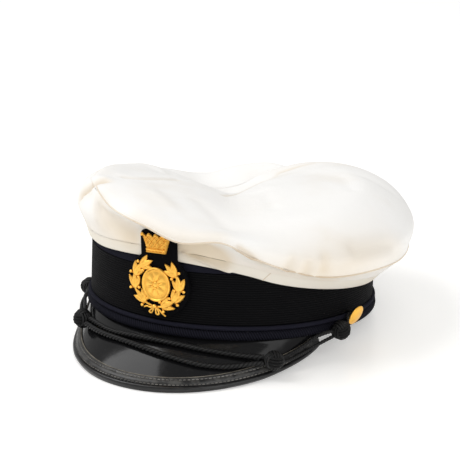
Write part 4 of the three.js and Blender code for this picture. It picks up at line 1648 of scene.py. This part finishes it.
@dataclass
class Peak:
    """Glossy peak, a bent sheet, with its bound and stitched edge."""

    thickness: float = 2.0
    reach: float = 30.2
    drop: float = 26.1
    half_angle: float = 68.0
    reach_power: float = 1.95
    drop_power: float = 0.484
    seat: float = -1.2
    seat_height: float = -1.5
    swell: float = 1.6
    edge_inset: float = 1.2
    lip: float = 0.8
    end: float = 0.965
    columns: int = 150
    rows: int = 18
    gap: float = 0.3
    width: float = 7.6
    under: float = 6.5
    end_spare: float = 1.6
    stitch_length: float = 1.9
    stitch_pitch: float = 2.6
    stitch_radius: float = 0.32
    stitch_sides: int = 6
    stitch_arch: float = 0.12
    stitch_lift: float = 0.86
    stitch_margin: float = 0.06
    stitch_rows: tuple[float, ...] = (5.9, 2.5)
    stitch_thickness: tuple[float, ...] = (0.35, 0.8, 1, 1, 1, 0.8, 0.35)
    raw_radius: float = 0.38
    raw_inset: float = 0.15
    raw_lift: float = 0.2
    raw_step: float = 1.6
    raw_margin: float = 0.05
    run_steps: int = 500
    probe: float = 0.002
    room_share: float = 0.98
    flap_rub: float = 0.8
    bead_rub: float = 0.1
    flap_corners: int = 8
    flap_under: float = 0.9
    fold_inset: float = 0.5
    bead_front: float = -1.6
    flap_top: tuple[Pair, ...] = (
        (1.0, 0.0), (1.0, 0.5), (0.97, 0.8), (0.87, 0.95), (0.8, 0.75), (0.76, 0.7), (0.7, 0.95),
        (0.55, 1.05), (0.42, 1.0), (0.35, 0.6), (0.29, 0.45),
    )
    bead_top: tuple[Pair, ...] = ((1.8, 0.7), (1.4, 1.3), (0.8, 1.75), (0.1, 1.7), (-0.8, 1.1))
    bead_under: tuple[Pair, ...] = ((-1.3, 0.2), (-0.9, 0.9), (0.8, 1.2))

    def span(self, across: float) -> tuple[float, float, float, float]:
        """Measure the peak at a place across it.

        Args:
            across: From -1 to 1 between the ends.

        Returns:
            Its fullness there, its reach, its drop and its length from seat to edge.
        """
        fullness = math.cos(math.pi / 2 * across)
        reach = self.reach * fullness ** self.reach_power
        drop = self.drop * fullness ** self.drop_power
        return fullness, reach, drop, math.hypot(reach - self.seat, drop + self.seat_height)

    def point(self, across: float, along: float) -> Vector:
        """Point of the middle surface.

        Args:
            across: From -1 to 1 between the ends.
            along: From 0 at the seat to 1 at the edge.

        Returns:
            The point in the cap's frame.
        """
        fullness, reach, drop, length = self.span(across)
        run, fall = reach - self.seat, -drop - self.seat_height
        swell = self.swell * fullness * math.sin(math.pi * along) / length
        out = self.seat + run * along - fall * swell
        return OVAL.point(across * self.half_angle, out, self.seat_height + fall * along + run * swell)

    def off(self, across: float, inset: float, lift: float) -> Vector:
        """Point beside the edge.

        Args:
            across: From -1 to 1 between the ends.
            inset: Distance in from the edge.
            lift: Height off the middle surface.

        Returns:
            The point in the cap's frame.
        """
        along = 1 - inset / self.span(across)[3]
        at, step = min(along, 1.0), self.probe
        sideways = self.point(across + step, at) - self.point(across - step, at)
        outwards = self.point(across, at + step) - self.point(across, at - step)
        return self.point(across, along) - sideways.cross(outwards).normalized() * lift

    def across_at(self, column: int) -> float:
        """Place across the peak of a column."""
        return self.end * (2 * column / self.columns - 1)

    def leaf(self) -> bpy.types.Object:
        """Make the peak itself, its upper and under faces joined at the edges.

        Returns:
            The peak.
        """
        half = self.thickness / 2

        def place(i: int, j: int) -> Vector:
            """Point of the closed section.

            Args:
                i: Column across the peak.
                j: Step round the section, out above and back underneath.

            Returns:
                The point in the cap's frame.
            """
            across = self.across_at(i)
            length = self.span(across)[3]
            step = j % (2 * self.rows + 2)
            row = step if step <= self.rows else 2 * self.rows + 1 - step
            inset = mixed(length, self.edge_inset, row / self.rows)
            if step == 0:
                return OVAL.point(across * self.half_angle, self.seat, self.lip)
            return self.off(across, inset, half if step <= self.rows else -half)

        piece = BENCH.sheet("peak_leaf", self.columns, 2 * self.rows + 2, place, (260, 80), capped=True)
        BENCH.crease(piece, 45)
        return piece

    def binding_section(self, across: float) -> list[Pair]:
        """Section of the binding: flat top and under flaps, a sewn groove and a bead round the edge.

        Args:
            across: Place across the peak.

        Returns:
            Its corners, in from the edge and off the middle surface.
        """
        room = self.span(across)[3] - self.end_spare
        top, under = min(self.width, room), min(self.under, room)
        inside = self.thickness / 2 + self.gap
        corners = [(share * top, inside + lift) for share, lift in self.flap_top]
        corners += [(inset, inside + lift) for inset, lift in self.bead_top]
        corners.append((self.bead_front, 0.0))
        corners += [(inset, -inside - lift) for inset, lift in self.bead_under]
        corners += [(under, -inside - self.flap_under), (under, -inside), (self.fold_inset, -inside),
                    (self.fold_inset, inside)]
        limit = room * self.room_share
        return [(min(inset, limit) if inset > 0 else inset, lift) for inset, lift in corners]

    def binding(self) -> bpy.types.Object:
        """Make the folded edge binding.

        Returns:
            The binding.
        """
        sections = [self.binding_section(self.across_at(i)) for i in range(self.columns + 1)]
        corners = len(sections[0])

        def place(i: int, j: int) -> Vector:
            """Point of the binding at a column and a corner."""
            return self.off(self.across_at(i), *sections[i][j % corners])

        def rub(i: int, j: int) -> float:
            """How far the binding is rubbed, most on its flap."""
            return self.flap_rub if 1 <= j % corners <= self.flap_corners else self.bead_rub

        piece = BENCH.sheet("peak_edge_binding", self.columns, corners, place, (290, 26), capped=True,
                            rub=rub)
        BENCH.crease(piece, 50)
        return piece

    def edge_run(self, inset: float, lift: float, margin: float) -> list[Vector]:
        """Run along the peak at a distance in from its edge.

        Args:
            inset: Distance in from the edge.
            lift: Height off the middle surface.
            margin: Share of the width left out at each end.

        Returns:
            Points of the run.
        """
        count, ends = self.run_steps, self.end - margin
        return [self.off(ends * (2 * i / count - 1), inset, lift) for i in range(count + 1)]

    def stitches(self, name: str, inset: float, lift: float, margin: float) -> bpy.types.Object:
        """Sew one row of stitches along the binding.

        Args:
            name: Name of the row.
            inset: Distance in from the edge.
            lift: Height off the middle surface.
            margin: Share of the width left out at each end.

        Returns:
            The row as one piece.
        """
        places = [POSE.place(p) for p in spread(self.edge_run(inset, lift, margin), self.stitch_pitch)]
        first = self.loose_stitch(name)
        row = []
        for start, after in zip(places, places[1:]):
            turn = (after - start).normalized().to_track_quat("X", "Z")
            row.append(BENCH.copy(first, name, lambda co, t=turn, s=start: t @ co + s))
        bpy.data.objects.remove(first)
        return BENCH.join(row, name)

    def loose_stitch(self, name: str) -> bpy.types.Object:
        """Model one stitch at the origin, lying along X.

        Args:
            name: Name of its row.

        Returns:
            The stitch, in metres round the origin.
        """
        half, last = self.stitch_length / 2, len(self.stitch_thickness) - 1
        points = [Vector((mixed(-half, half, i / last), 0, self.stitch_arch * math.sin(math.pi * i / last)))
                  for i in range(last + 1)]
        piece = BENCH.tube(name, points, self.stitch_sides,
                           lambda ring, turn: self.stitch_radius * self.stitch_thickness[ring])
        back = Vector((POSE.x, POSE.y, POSE.z)) * MM
        lean = Matrix.Rotation(math.radians(POSE.tilt), 3, "X")
        for vertex in piece.data.vertices:
            vertex.co = lean @ (vertex.co - back)
        return piece

    def build(self) -> None:
        """Make the peak, its binding and the stitches."""
        inside = self.thickness / 2 + self.gap
        leaf, binding = self.leaf(), self.binding()
        edge = self.edge_run(self.width + self.raw_inset, inside + self.raw_lift, self.raw_margin)
        raw = BENCH.tube("peak_raw_edge", spread(edge, self.raw_step), 8, lambda ring, turn: self.raw_radius)
        WARDROBE.dress(leaf, Finish.PATENT, "peak_gloss", "peak")
        WARDROBE.dress(binding, Finish.EDGING, "binding", "peak_binding")
        WARDROBE.dress(raw, Finish.RAW_EDGE, "binding")
        for number, inset in enumerate(self.stitch_rows, start=1):
            row = self.stitches(f"edge_stitches_{number}", inset, inside + self.stitch_lift,
                                self.stitch_margin)
            WARDROBE.dress(row, Finish.STITCH, "binding")


@dataclass(frozen=True)
class Leaf:
    """Size of a leaf of the wreath and its lean from the stem, in degrees."""

    lean: float
    length: float
    width: float


@dataclass
class Badge:
    """Gilt badge on its cloth patch: wreath, medallion and coronet."""

    shift: float = 2.8
    turn: float = -3.0
    bend: float = 170.0
    patch_thickness: float = 1.6
    patch_low: float = 10.2
    patch_lean: float = 0.066
    patch_foot: float = 0.4
    patch_radius: float = 21.2
    neck_half: float = 12.2
    patch_high: float = 65.4
    patch_corner: float = 4.0
    patch_spine: float = 8.0
    recess_shade_from: float = 1.5
    recess_shade_span: float = 0.9
    gap: float = 0.3
    wreath_height: float = 31.9
    wreath_half_width: float = 16.0
    wreath_half_height: float = 14.0
    wreath_start: float = -84.0
    wreath_end: float = 38.0
    stem: float = 0.8
    stem_share: float = 0.8
    stem_lift: float = 0.6
    stem_rings: int = 24
    leaf_height: float = 1.7
    leaf_step: float = 0.2
    stalk_height: float = 1.3
    vein_depth: float = 0.42
    vein_width: float = 0.22
    blade_tip: float = 0.03
    blade_back: float = 0.06
    ball_seat: float = 0.9
    bow_knot: float = 1.4
    berry: float = 1.0
    left_clusters: tuple[float, ...] = (-63.0, -21.0, 14.0, 44.0)
    right_clusters: tuple[float, ...] = (-73.0, -38.0, -5.0, 35.0)
    leaves: tuple[Leaf, ...] = (Leaf(14, 9.0, 4.1), Leaf(-43, 8.4, 3.9), Leaf(-15, 9.8, 4.2))
    berry_stalks: tuple[Leaf, ...] = (Leaf(80, 3.2, 1.0), Leaf(-98, 3.2, 1.0))
    ribbon: float = 0.55
    bow: tuple[tuple[Pair, ...], ...] = (
        ((0, 0), (-3, -1.2), (-5.4, -0.9), (-7.4, -1.8)),
        ((0, 0), (-1.6, -1.6), (-3.6, -4.0), (-2.2, -4.6), (-0.9, -2.2), (0, 0.2)),
        ((0, 0), (0.8, -1.8), (1.4, -4.6), (3.2, -4.4), (2.4, -2.0), (0, 0.2)),
        ((0, 0), (3.2, -1.4), (5.6, -3.4), (8.0, -4.8)),
    )
    medallion_half_width: float = 9.9
    medallion_half_height: float = 10.9
    petals: int = 8
    petal_foot: float = 0.2
    petal_end: float = 0.72
    petal_length: float = 0.34
    petal_rise: float = 0.7
    medallion_profile: tuple[Pair, ...] = (
        (0.0, 0.3), (0.35, 0.3), (1.0, 0.3), (1.0, 1.3), (0.985, 1.65), (0.96, 1.85), (0.92, 1.85),
        (0.89, 1.6), (0.86, 1.15), (0.8, 1.1), (0.72, 1.1), (0.64, 1.12), (0.56, 1.15), (0.48, 1.2),
        (0.4, 1.25), (0.32, 1.3), (0.24, 1.3), (0.19, 1.35), (0.16, 1.75), (0.1, 2.0), (0.0, 2.1),
    )
    coronet_low: float = 51.4
    coronet_band: float = 2.4
    coronet_valley: float = 61.0
    coronet_high: float = 62.6
    coronet_base: float = 6.4
    coronet_top: float = 10.0
    coronet_ball: float = 1.15
    coronet_turn: float = 5.0
    coronet_middle: float = 57.0
    coronet_shift: float = -1.0
    coronet_lift: float = 0.7
    coronet_relief: float = 0.32
    neck_shift: float = -1.0
    coronet_darkening: float = 0.4
    ball_sink: float = 0.3
    stud: float = 0.6
    stud_pitch: float = 2.5
    stud_rise: float = 1.3
    stud_lift: float = 1.1

    def on_cap(self, sideways: float, height: float) -> tuple[float, float, float]:
        """Place on the cap of a point of the badge, which is shifted and turned a little.

        Args:
            sideways: Place across the badge.
            height: Height on the badge.

        Returns:
            The place across the cap, its height, and how far out the patch's back lies there.
        """
        cos, sin = math.cos(math.radians(self.turn)), math.sin(math.radians(self.turn))
        up = height - self.wreath_height
        x, z = self.shift + sideways * cos - up * sin, self.wreath_height + sideways * sin + up * cos
        return x, z, self.patch_foot + self.patch_lean * (z - self.patch_low)

    def front(self, sideways: float, height: float, off: float) -> Vector:
        """Point off the face of the patch, which bends less than the band behind it."""
        x, z, foot = self.on_cap(sideways, height)
        return Vector((x, x * x / (2 * self.bend) - OVAL.half_length - foot - self.patch_thickness - off, z))

    def back(self, sideways: float, height: float) -> Vector:
        """Point on the back of the patch, which follows the band."""
        x, z, foot = self.on_cap(sideways, height)
        return OVAL.point(math.degrees(math.asin(x / OVAL.half_width)), foot, z)

    def recess_shade(self, co: Vector) -> float:
        """Share of painted shade at a place of the gilt, most where it lies low on the patch.

        Args:
            co: Place of a vertex, in metres.

        Returns:
            The share, from 0 to 1.
        """
        turn = math.radians(POSE.tilt)
        x, y, z = co.x / MM - POSE.x, co.y / MM - POSE.y, co.z / MM - POSE.z
        y, z = y * math.cos(turn) - z * math.sin(turn), y * math.sin(turn) + z * math.cos(turn)
        foot = self.patch_foot + self.patch_lean * (z - self.patch_low)
        off = x * x / (2 * self.bend) - OVAL.half_length - foot - self.patch_thickness - y
        return min(max((self.recess_shade_from - off) / self.recess_shade_span, 0.0), 1.0)

    def patch_outline(self, count: int) -> list[Pair]:
        """Keyhole outline of the patch: a disc with a straight neck up to a rounded top.

        Args:
            count: Points of the outline.

        Returns:
            Its points, sideways and up.
        """
        middle = self.patch_low + self.patch_radius
        shoulder = math.degrees(math.asin(self.neck_half / self.patch_radius))
        corner = self.patch_corner
        disc = [90 + shoulder + (360 - 2 * shoulder) * i / 90 for i in range(91)]
        points = [Vector((self.patch_radius * math.cos(math.radians(a)),
                          middle + self.patch_radius * math.sin(math.radians(a)), 0)) for a in disc]
        for side in (1, -1):
            arc = [math.radians(90 * i / 8) for i in range(9)]
            arc = arc if side > 0 else arc[::-1]
            points += [Vector((self.neck_shift + side * (self.neck_half - corner + corner * math.cos(a)),
                               self.patch_high - corner + corner * math.sin(a), 0)) for a in arc]
        ring = spread([*points, points[0]], run_length([*points, points[0]]) / count)
        return [(p.x, p.y) for p in ring]

    def patch(self) -> bpy.types.Object:
        """Make the cloth patch with its rounded edge.

        Returns:
            The patch.
        """
        outline = self.patch_outline(180)
        middle = self.patch_low + self.patch_radius
        spine = [(0.0, min(max(y, middle), self.patch_high - self.patch_spine)) for _, y in outline]
        section = ((0.0, 0.0), (0.3, 0.0), (0.6, 0.0), (0.85, 0.0), (0.96, 0.03), (0.99, 0.2), (1.0, 0.5),
                   (0.99, 0.9), (0.97, 1.0), (0.5, 1.0), (0.0, 1.0))

        def place(i: int, j: int) -> Vector:
            """Point of the patch from its spine out to its edge and back underneath.

            Args:
                i: Column round the outline.
                j: Row of the section.

            Returns:
                The point in the cap's frame.
            """
            share, depth = section[j]
            x, y = (mixed(s, o, share) for s, o in zip(spine[i], outline[i]))
            return self.front(x, y, 0.0).lerp(self.back(x, y), depth)

        piece = BENCH.sheet("badge_cloth", len(outline) - 1, len(section) - 1, place, (140, 40))
        BENCH.crease(piece, 60)
        return piece

    def blade(self, name: str, foot: Pair, direction: float, length: float, width: float,
              high: float) -> bpy.types.Object:
        """Stamp one leaf or ribbon: pointed, domed, with a groove down its middle.

        Args:
            name: Name of the piece.
            foot: Where it starts, sideways and up.
            direction: Degrees of its way across the front.
            length: Its length.
            width: Its full width.
            high: Height of its ridges over the patch.

        Returns:
            The blade.
        """
        columns, sides = 14, 16
        cos, sin = math.cos(math.radians(direction)), math.sin(math.radians(direction))

        def place(i: int, j: int) -> Vector:
            """Point of the blade.

            Args:
                i: Column along the blade.
                j: Row round its section.

            Returns:
                The point in the cap's frame.
            """
            along = i / columns
            full = self.blade_tip
            if 0 < i < columns:
                full = math.sin(math.pi * (0.04 + 0.96 * along) ** 0.8) ** 0.75
            turn = 2 * math.pi * j / sides
            across = math.cos(turn) * width / 2 * full
            upper = max(math.sin(turn), 0.0)
            groove = self.vein_depth * bell(math.cos(turn) / self.vein_width)
            dome = upper ** 0.7 * (0.55 + 0.45 * full) - groove * upper * full
            off = self.gap + (high - self.gap) * dome
            run = length * mixed(-self.blade_back, 1.0, along)
            return self.front(foot[0] + run * cos - across * sin, foot[1] + run * sin + across * cos, off)

        return BENCH.sheet(name, columns, sides, place, (length, width * 2), capped=True)

    def ball(self, name: str, foot: Pair, radius: float) -> bpy.types.Object:
        """Set a ball on the patch, sunk in a little.

        Args:
            name: Name of the piece.
            foot: Where it stands, sideways and up.
            radius: Its radius.

        Returns:
            The ball.
        """
        bpy.ops.object.select_all(action="DESELECT")
        bpy.ops.mesh.primitive_uv_sphere_add(segments=16, ring_count=10, radius=radius * MM)
        piece = bpy.context.active_object
        piece.name = piece.data.name = name
        centre = POSE.place(self.front(*foot, self.gap + radius * self.ball_seat))
        for vertex in piece.data.vertices:
            vertex.co = vertex.co + centre
        bpy.ops.object.shade_smooth()
        return piece

    def stem_run(self, way: int) -> list[tuple[float, float, float]]:
        """Points of one branch's stem.

        Args:
            way: 1 for the wearer's left branch and -1 for the other.

        Returns:
            Each point, sideways and up, with the stem's direction in degrees.
        """
        turns = [mixed(self.wreath_start, self.wreath_end, i / self.stem_rings)
                 for i in range(self.stem_rings + 1)]
        return [self.on_stem(turn, way) for turn in turns]

    def on_stem(self, turn: float, way: int) -> tuple[float, float, float]:
        """Point of a stem and the direction in which it grows there.

        Args:
            turn: Degrees round the wreath, 0 at its side and 90 at its top.
            way: 1 for the wearer's left branch and -1 for the other.

        Returns:
            The point, sideways and up, and the direction in degrees.
        """
        angle = math.radians(turn)
        x = way * self.wreath_half_width * math.cos(angle)
        y = self.wreath_height + self.wreath_half_height * math.sin(angle)
        return x, y, turn + 90 if way > 0 else 90 - turn

    def branch(self, way: int) -> list[bpy.types.Object]:
        """Make one branch of the wreath.

        Args:
            way: 1 for the wearer's left branch and -1 for the other.

        Returns:
            Its stem, leaves, stalks and berries.
        """
        run = [self.front(x, y, self.gap + self.stem_lift) for x, y, _ in self.stem_run(way)]
        pieces = [BENCH.tube("stem", run, 8, lambda ring, turn: self.stem * self.stem_share)]
        for cluster in self.right_clusters if way > 0 else self.left_clusters:
            x, y, grows = self.on_stem(cluster, way)
            for high, leaf in enumerate(self.leaves):
                pieces.append(self.blade("leaf", (x, y), grows - way * leaf.lean, leaf.length, leaf.width,
                                         self.leaf_height + self.leaf_step * high))
            for stalk in self.berry_stalks:
                direction = grows - way * stalk.lean
                turn = math.radians(direction)
                pieces.append(self.blade("stalk", (x, y), direction, stalk.length, stalk.width,
                                         self.stalk_height))
                end = (x + stalk.length * math.cos(turn), y + stalk.length * math.sin(turn))
                pieces.append(self.ball("berry", end, self.berry))
        return pieces

    def wreath(self) -> bpy.types.Object:
        """Make the wreath with its bow.

        Returns:
            The wreath.
        """
        foot = (0.0, self.wreath_height - self.wreath_half_height)
        ribbons = []
        for loop in self.bow:
            off = self.gap + 2 * self.ribbon
            run = SmoothPath([self.front(foot[0] + x, foot[1] + y, off) for x, y in loop])
            ribbons.append(BENCH.tube("ribbon", run.evenly(0.4), 8, lambda ring, turn: self.ribbon))
        knot = self.ball("bow_knot", foot, self.bow_knot * self.berry)
        return BENCH.join([*self.branch(-1), *self.branch(1), *ribbons, knot], "badge_laurel")

    def medallion(self) -> bpy.types.Object:
        """Make the oval medallion: raised rim, sunk field and a plain rosette.

        Returns:
            The medallion.
        """
        columns = 96

        def place(i: int, j: int) -> Vector:
            """Point of the medallion.

            Args:
                i: Column round its middle.
                j: Row of its profile.

            Returns:
                The point in the cap's frame.
            """
            share, off = self.medallion_profile[j]
            turn = 2 * math.pi * i / columns
            along = share - self.petal_foot
            if along > 0 and share < self.petal_end:
                petal = abs(math.cos(self.petals * turn / 2)) ** 0.7
                length = self.petal_length * (1 + petal)
                off += self.petal_rise * petal * max(0.0, 1 - (along / length) ** 2) ** 0.6
            return self.front(self.medallion_half_width * share * math.cos(turn),
                              self.wreath_height + self.medallion_half_height * share * math.sin(turn), off)

        piece = BENCH.sheet("badge_rosette", columns, len(self.medallion_profile) - 1, place, (60, 30))
        BENCH.crease(piece, 55)
        return piece

    def level(self, sideways: float, height: float) -> Pair:
        """Turn a point of the coronet, which stands more upright than the wreath.

        Args:
            sideways: Place across the coronet.
            height: Height on the badge.

        Returns:
            The place on the badge, sideways and up.
        """
        cos, sin = math.cos(math.radians(self.coronet_turn)), math.sin(math.radians(self.coronet_turn))
        up = height - self.coronet_middle
        return (self.coronet_shift + sideways * cos - up * sin,
                self.coronet_middle + self.coronet_lift + sideways * sin + up * cos)

    def coronet(self) -> bpy.types.Object:
        """Make the coronet: jewelled band, flared points and a ball on each.

        Returns:
            The coronet.
        """
        columns, face_rows = 120, 24
        rows = face_rows + 11
        plate = self.gap + 1.2

        def place(i: int, j: int) -> Vector:
            """Point of the coronet.

            Args:
                i: Column across the coronet.
                j: Row round its section.

            Returns:
                The point in the cap's frame.
            """
            share = 2 * i / columns - 1
            point = 1 - (1 - abs(math.cos(2 * math.pi * share))) ** 2
            top = mixed(self.coronet_valley, self.coronet_high, point)
            low, band = self.coronet_low, self.coronet_low + self.coronet_band
            section = ((low, self.gap), (low, plate + 0.5), (low + 0.25, plate + 0.8),
                       (low + 0.7, plate + 0.75), (low + 0.9, plate + 0.35), (band - 0.7, plate + 0.75),
                       (band - 0.25, plate + 0.8), (band, plate + 0.5), (band + 0.2, plate),
                       *((mixed(band, top, step / face_rows), plate) for step in range(1, face_rows)),
                       (top - 0.2, plate - 0.1), (top, plate - 0.5), (top, self.gap))
            height, off = section[j % rows]
            flare = max(height - low, 0.0) / (self.coronet_high - low)
            half = mixed(self.coronet_base, self.coronet_top, 0.35 * flare + 0.65 * flare ** 3)
            if band + 0.3 < height < top - 0.3:
                grain = math.sin(7 * math.pi * share) * math.sin(2.6 * height)
                grain += math.sin(11 * math.pi * share + 1.3) * math.cos(3.7 * height)
                off += self.coronet_relief * grain
            return self.front(*self.level(share * half, height), off)

        plate_piece = BENCH.sheet("coronet_plate", columns, rows, place, (19, 30), capped=True)
        BENCH.crease(plate_piece, 50)
        steps = (-2, -1, 0, 1, 2)
        ball_height, stud_height = self.coronet_high - self.ball_sink, self.coronet_low + self.stud_rise
        balls = [self.ball("coronet_ball", self.level(step / 2.1 * self.coronet_top, ball_height),
                           self.coronet_ball) for step in steps]
        studs = [self.ball("coronet_stud", self.level(step * self.stud_pitch, stud_height), self.stud)
                 for step in steps]
        middle = self.coronet_middle
        lift = POSE.place(self.front(0, middle, self.stud_lift)) - POSE.place(self.front(0, middle, 0))
        for stud in studs:
            for vertex in stud.data.vertices:
                vertex.co = vertex.co + lift
        return BENCH.join([plate_piece, *balls, *studs], "badge_crownlet")

    def build(self) -> None:
        """Make the patch and the three gilt castings."""
        WARDROBE.dress(self.patch(), Finish.FELT, "badge_cloth", "badge_patch")
        castings = ((self.wreath(), "badge_wreath", 0.0), (self.medallion(), "badge_medallion", 0.0),
                    (self.coronet(), "badge_coronet", self.coronet_darkening))
        # The coronet is darker all over, besides the painted shade where the gilt lies low on the patch.
        for piece, node, darkening in castings:
            add_mark(piece, "recess_shade", lambda co, least=darkening: max(self.recess_shade(co), least))
            WARDROBE.dress(piece, Finish.GILT, "gilt", node)


@dataclass
class Buttons:
    """Two gilt buttons that hold the chin cord."""

    radius: float = 6.7
    out: float = 6.8
    height: float = 8.8
    droop: float = 21.6
    shank: float = 1.3
    shank_length: float = 6.2
    shank_top: float = 0.2
    shank_rings: int = 12
    shank_sides: int = 14
    whip: float = 0.15
    whip_turn: float = 2.6
    sides: int = 64
    angles: tuple[tuple[Side, float], ...] = ((Side.LEFT, -86.0), (Side.RIGHT, 81.5))
    dome: tuple[Pair, ...] = (
        (0.0, -0.5), (0.9, -0.5), (0.96, -0.4), (1.0, 0.0), (1.0, 0.25), (0.97, 0.5), (0.93, 0.6),
        (0.88, 0.55), (0.85, 0.62), (0.75, 1.05), (0.6, 1.45), (0.4, 1.75), (0.2, 1.88), (0.0, 1.92),
    )

    def button(self, side: Side, angle: float) -> bpy.types.Object:
        """Turn one button and whip its shank with cord.

        Args:
            side: Side of the cap.
            angle: Degrees round the band.

        Returns:
            The button.
        """
        middle = OVAL.point(angle, self.out, self.height)
        droop = math.radians(self.droop)
        axis = OVAL.normal(angle) * math.cos(droop) - Vector((0, 0, math.sin(droop)))
        turn = axis.to_track_quat("Z", "Y")

        def place(i: int, j: int) -> Vector:
            """Point of the button.

            Args:
                i: Column round its axis.
                j: Row of its profile.

            Returns:
                The point in the cap's frame.
            """
            share, height = self.dome[j]
            around, reach = 2 * math.pi * i / self.sides, share * self.radius
            return middle + turn @ Vector((math.cos(around) * reach, math.sin(around) * reach, height))

        piece = BENCH.sheet(f"button_{side.value}_gilt", self.sides, len(self.dome) - 1, place, (42, 20))
        BENCH.crease(piece, 50)
        rings = self.shank_rings
        run = [middle - axis * mixed(self.shank_length, self.shank_top, i / rings) for i in range(rings + 1)]
        shank = BENCH.tube(f"button_{side.value}_shank", run, self.shank_sides, self.whipping)
        WARDROBE.dress(shank, Finish.CORD, "cord")
        return piece

    def whipping(self, ring: int, turn: float) -> float:
        """Radius of the cord-whipped shank at a ring."""
        return self.shank * (1 - self.whip + self.whip * math.cos(self.whip_turn * ring))

    def build(self) -> None:
        """Make both buttons."""
        for side, angle in self.angles:
            piece = self.button(side, angle)
            add_mark(piece, "recess_shade", lambda co: 0.0)
            WARDROBE.dress(piece, Finish.GILT, "gilt", f"button_{side.value}")


def main() -> None:
    """Load the frame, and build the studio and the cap."""
    logging.basicConfig(level=logging.INFO, format="%(message)s")
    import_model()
    for assembly in (Studio(), ChinCord(), Crown(), Band(), Peak(), Badge(), Buttons()):
        LOG.info("building %s", type(assembly).__name__)
        assembly.build()


if __name__ == "__main__":
    main()
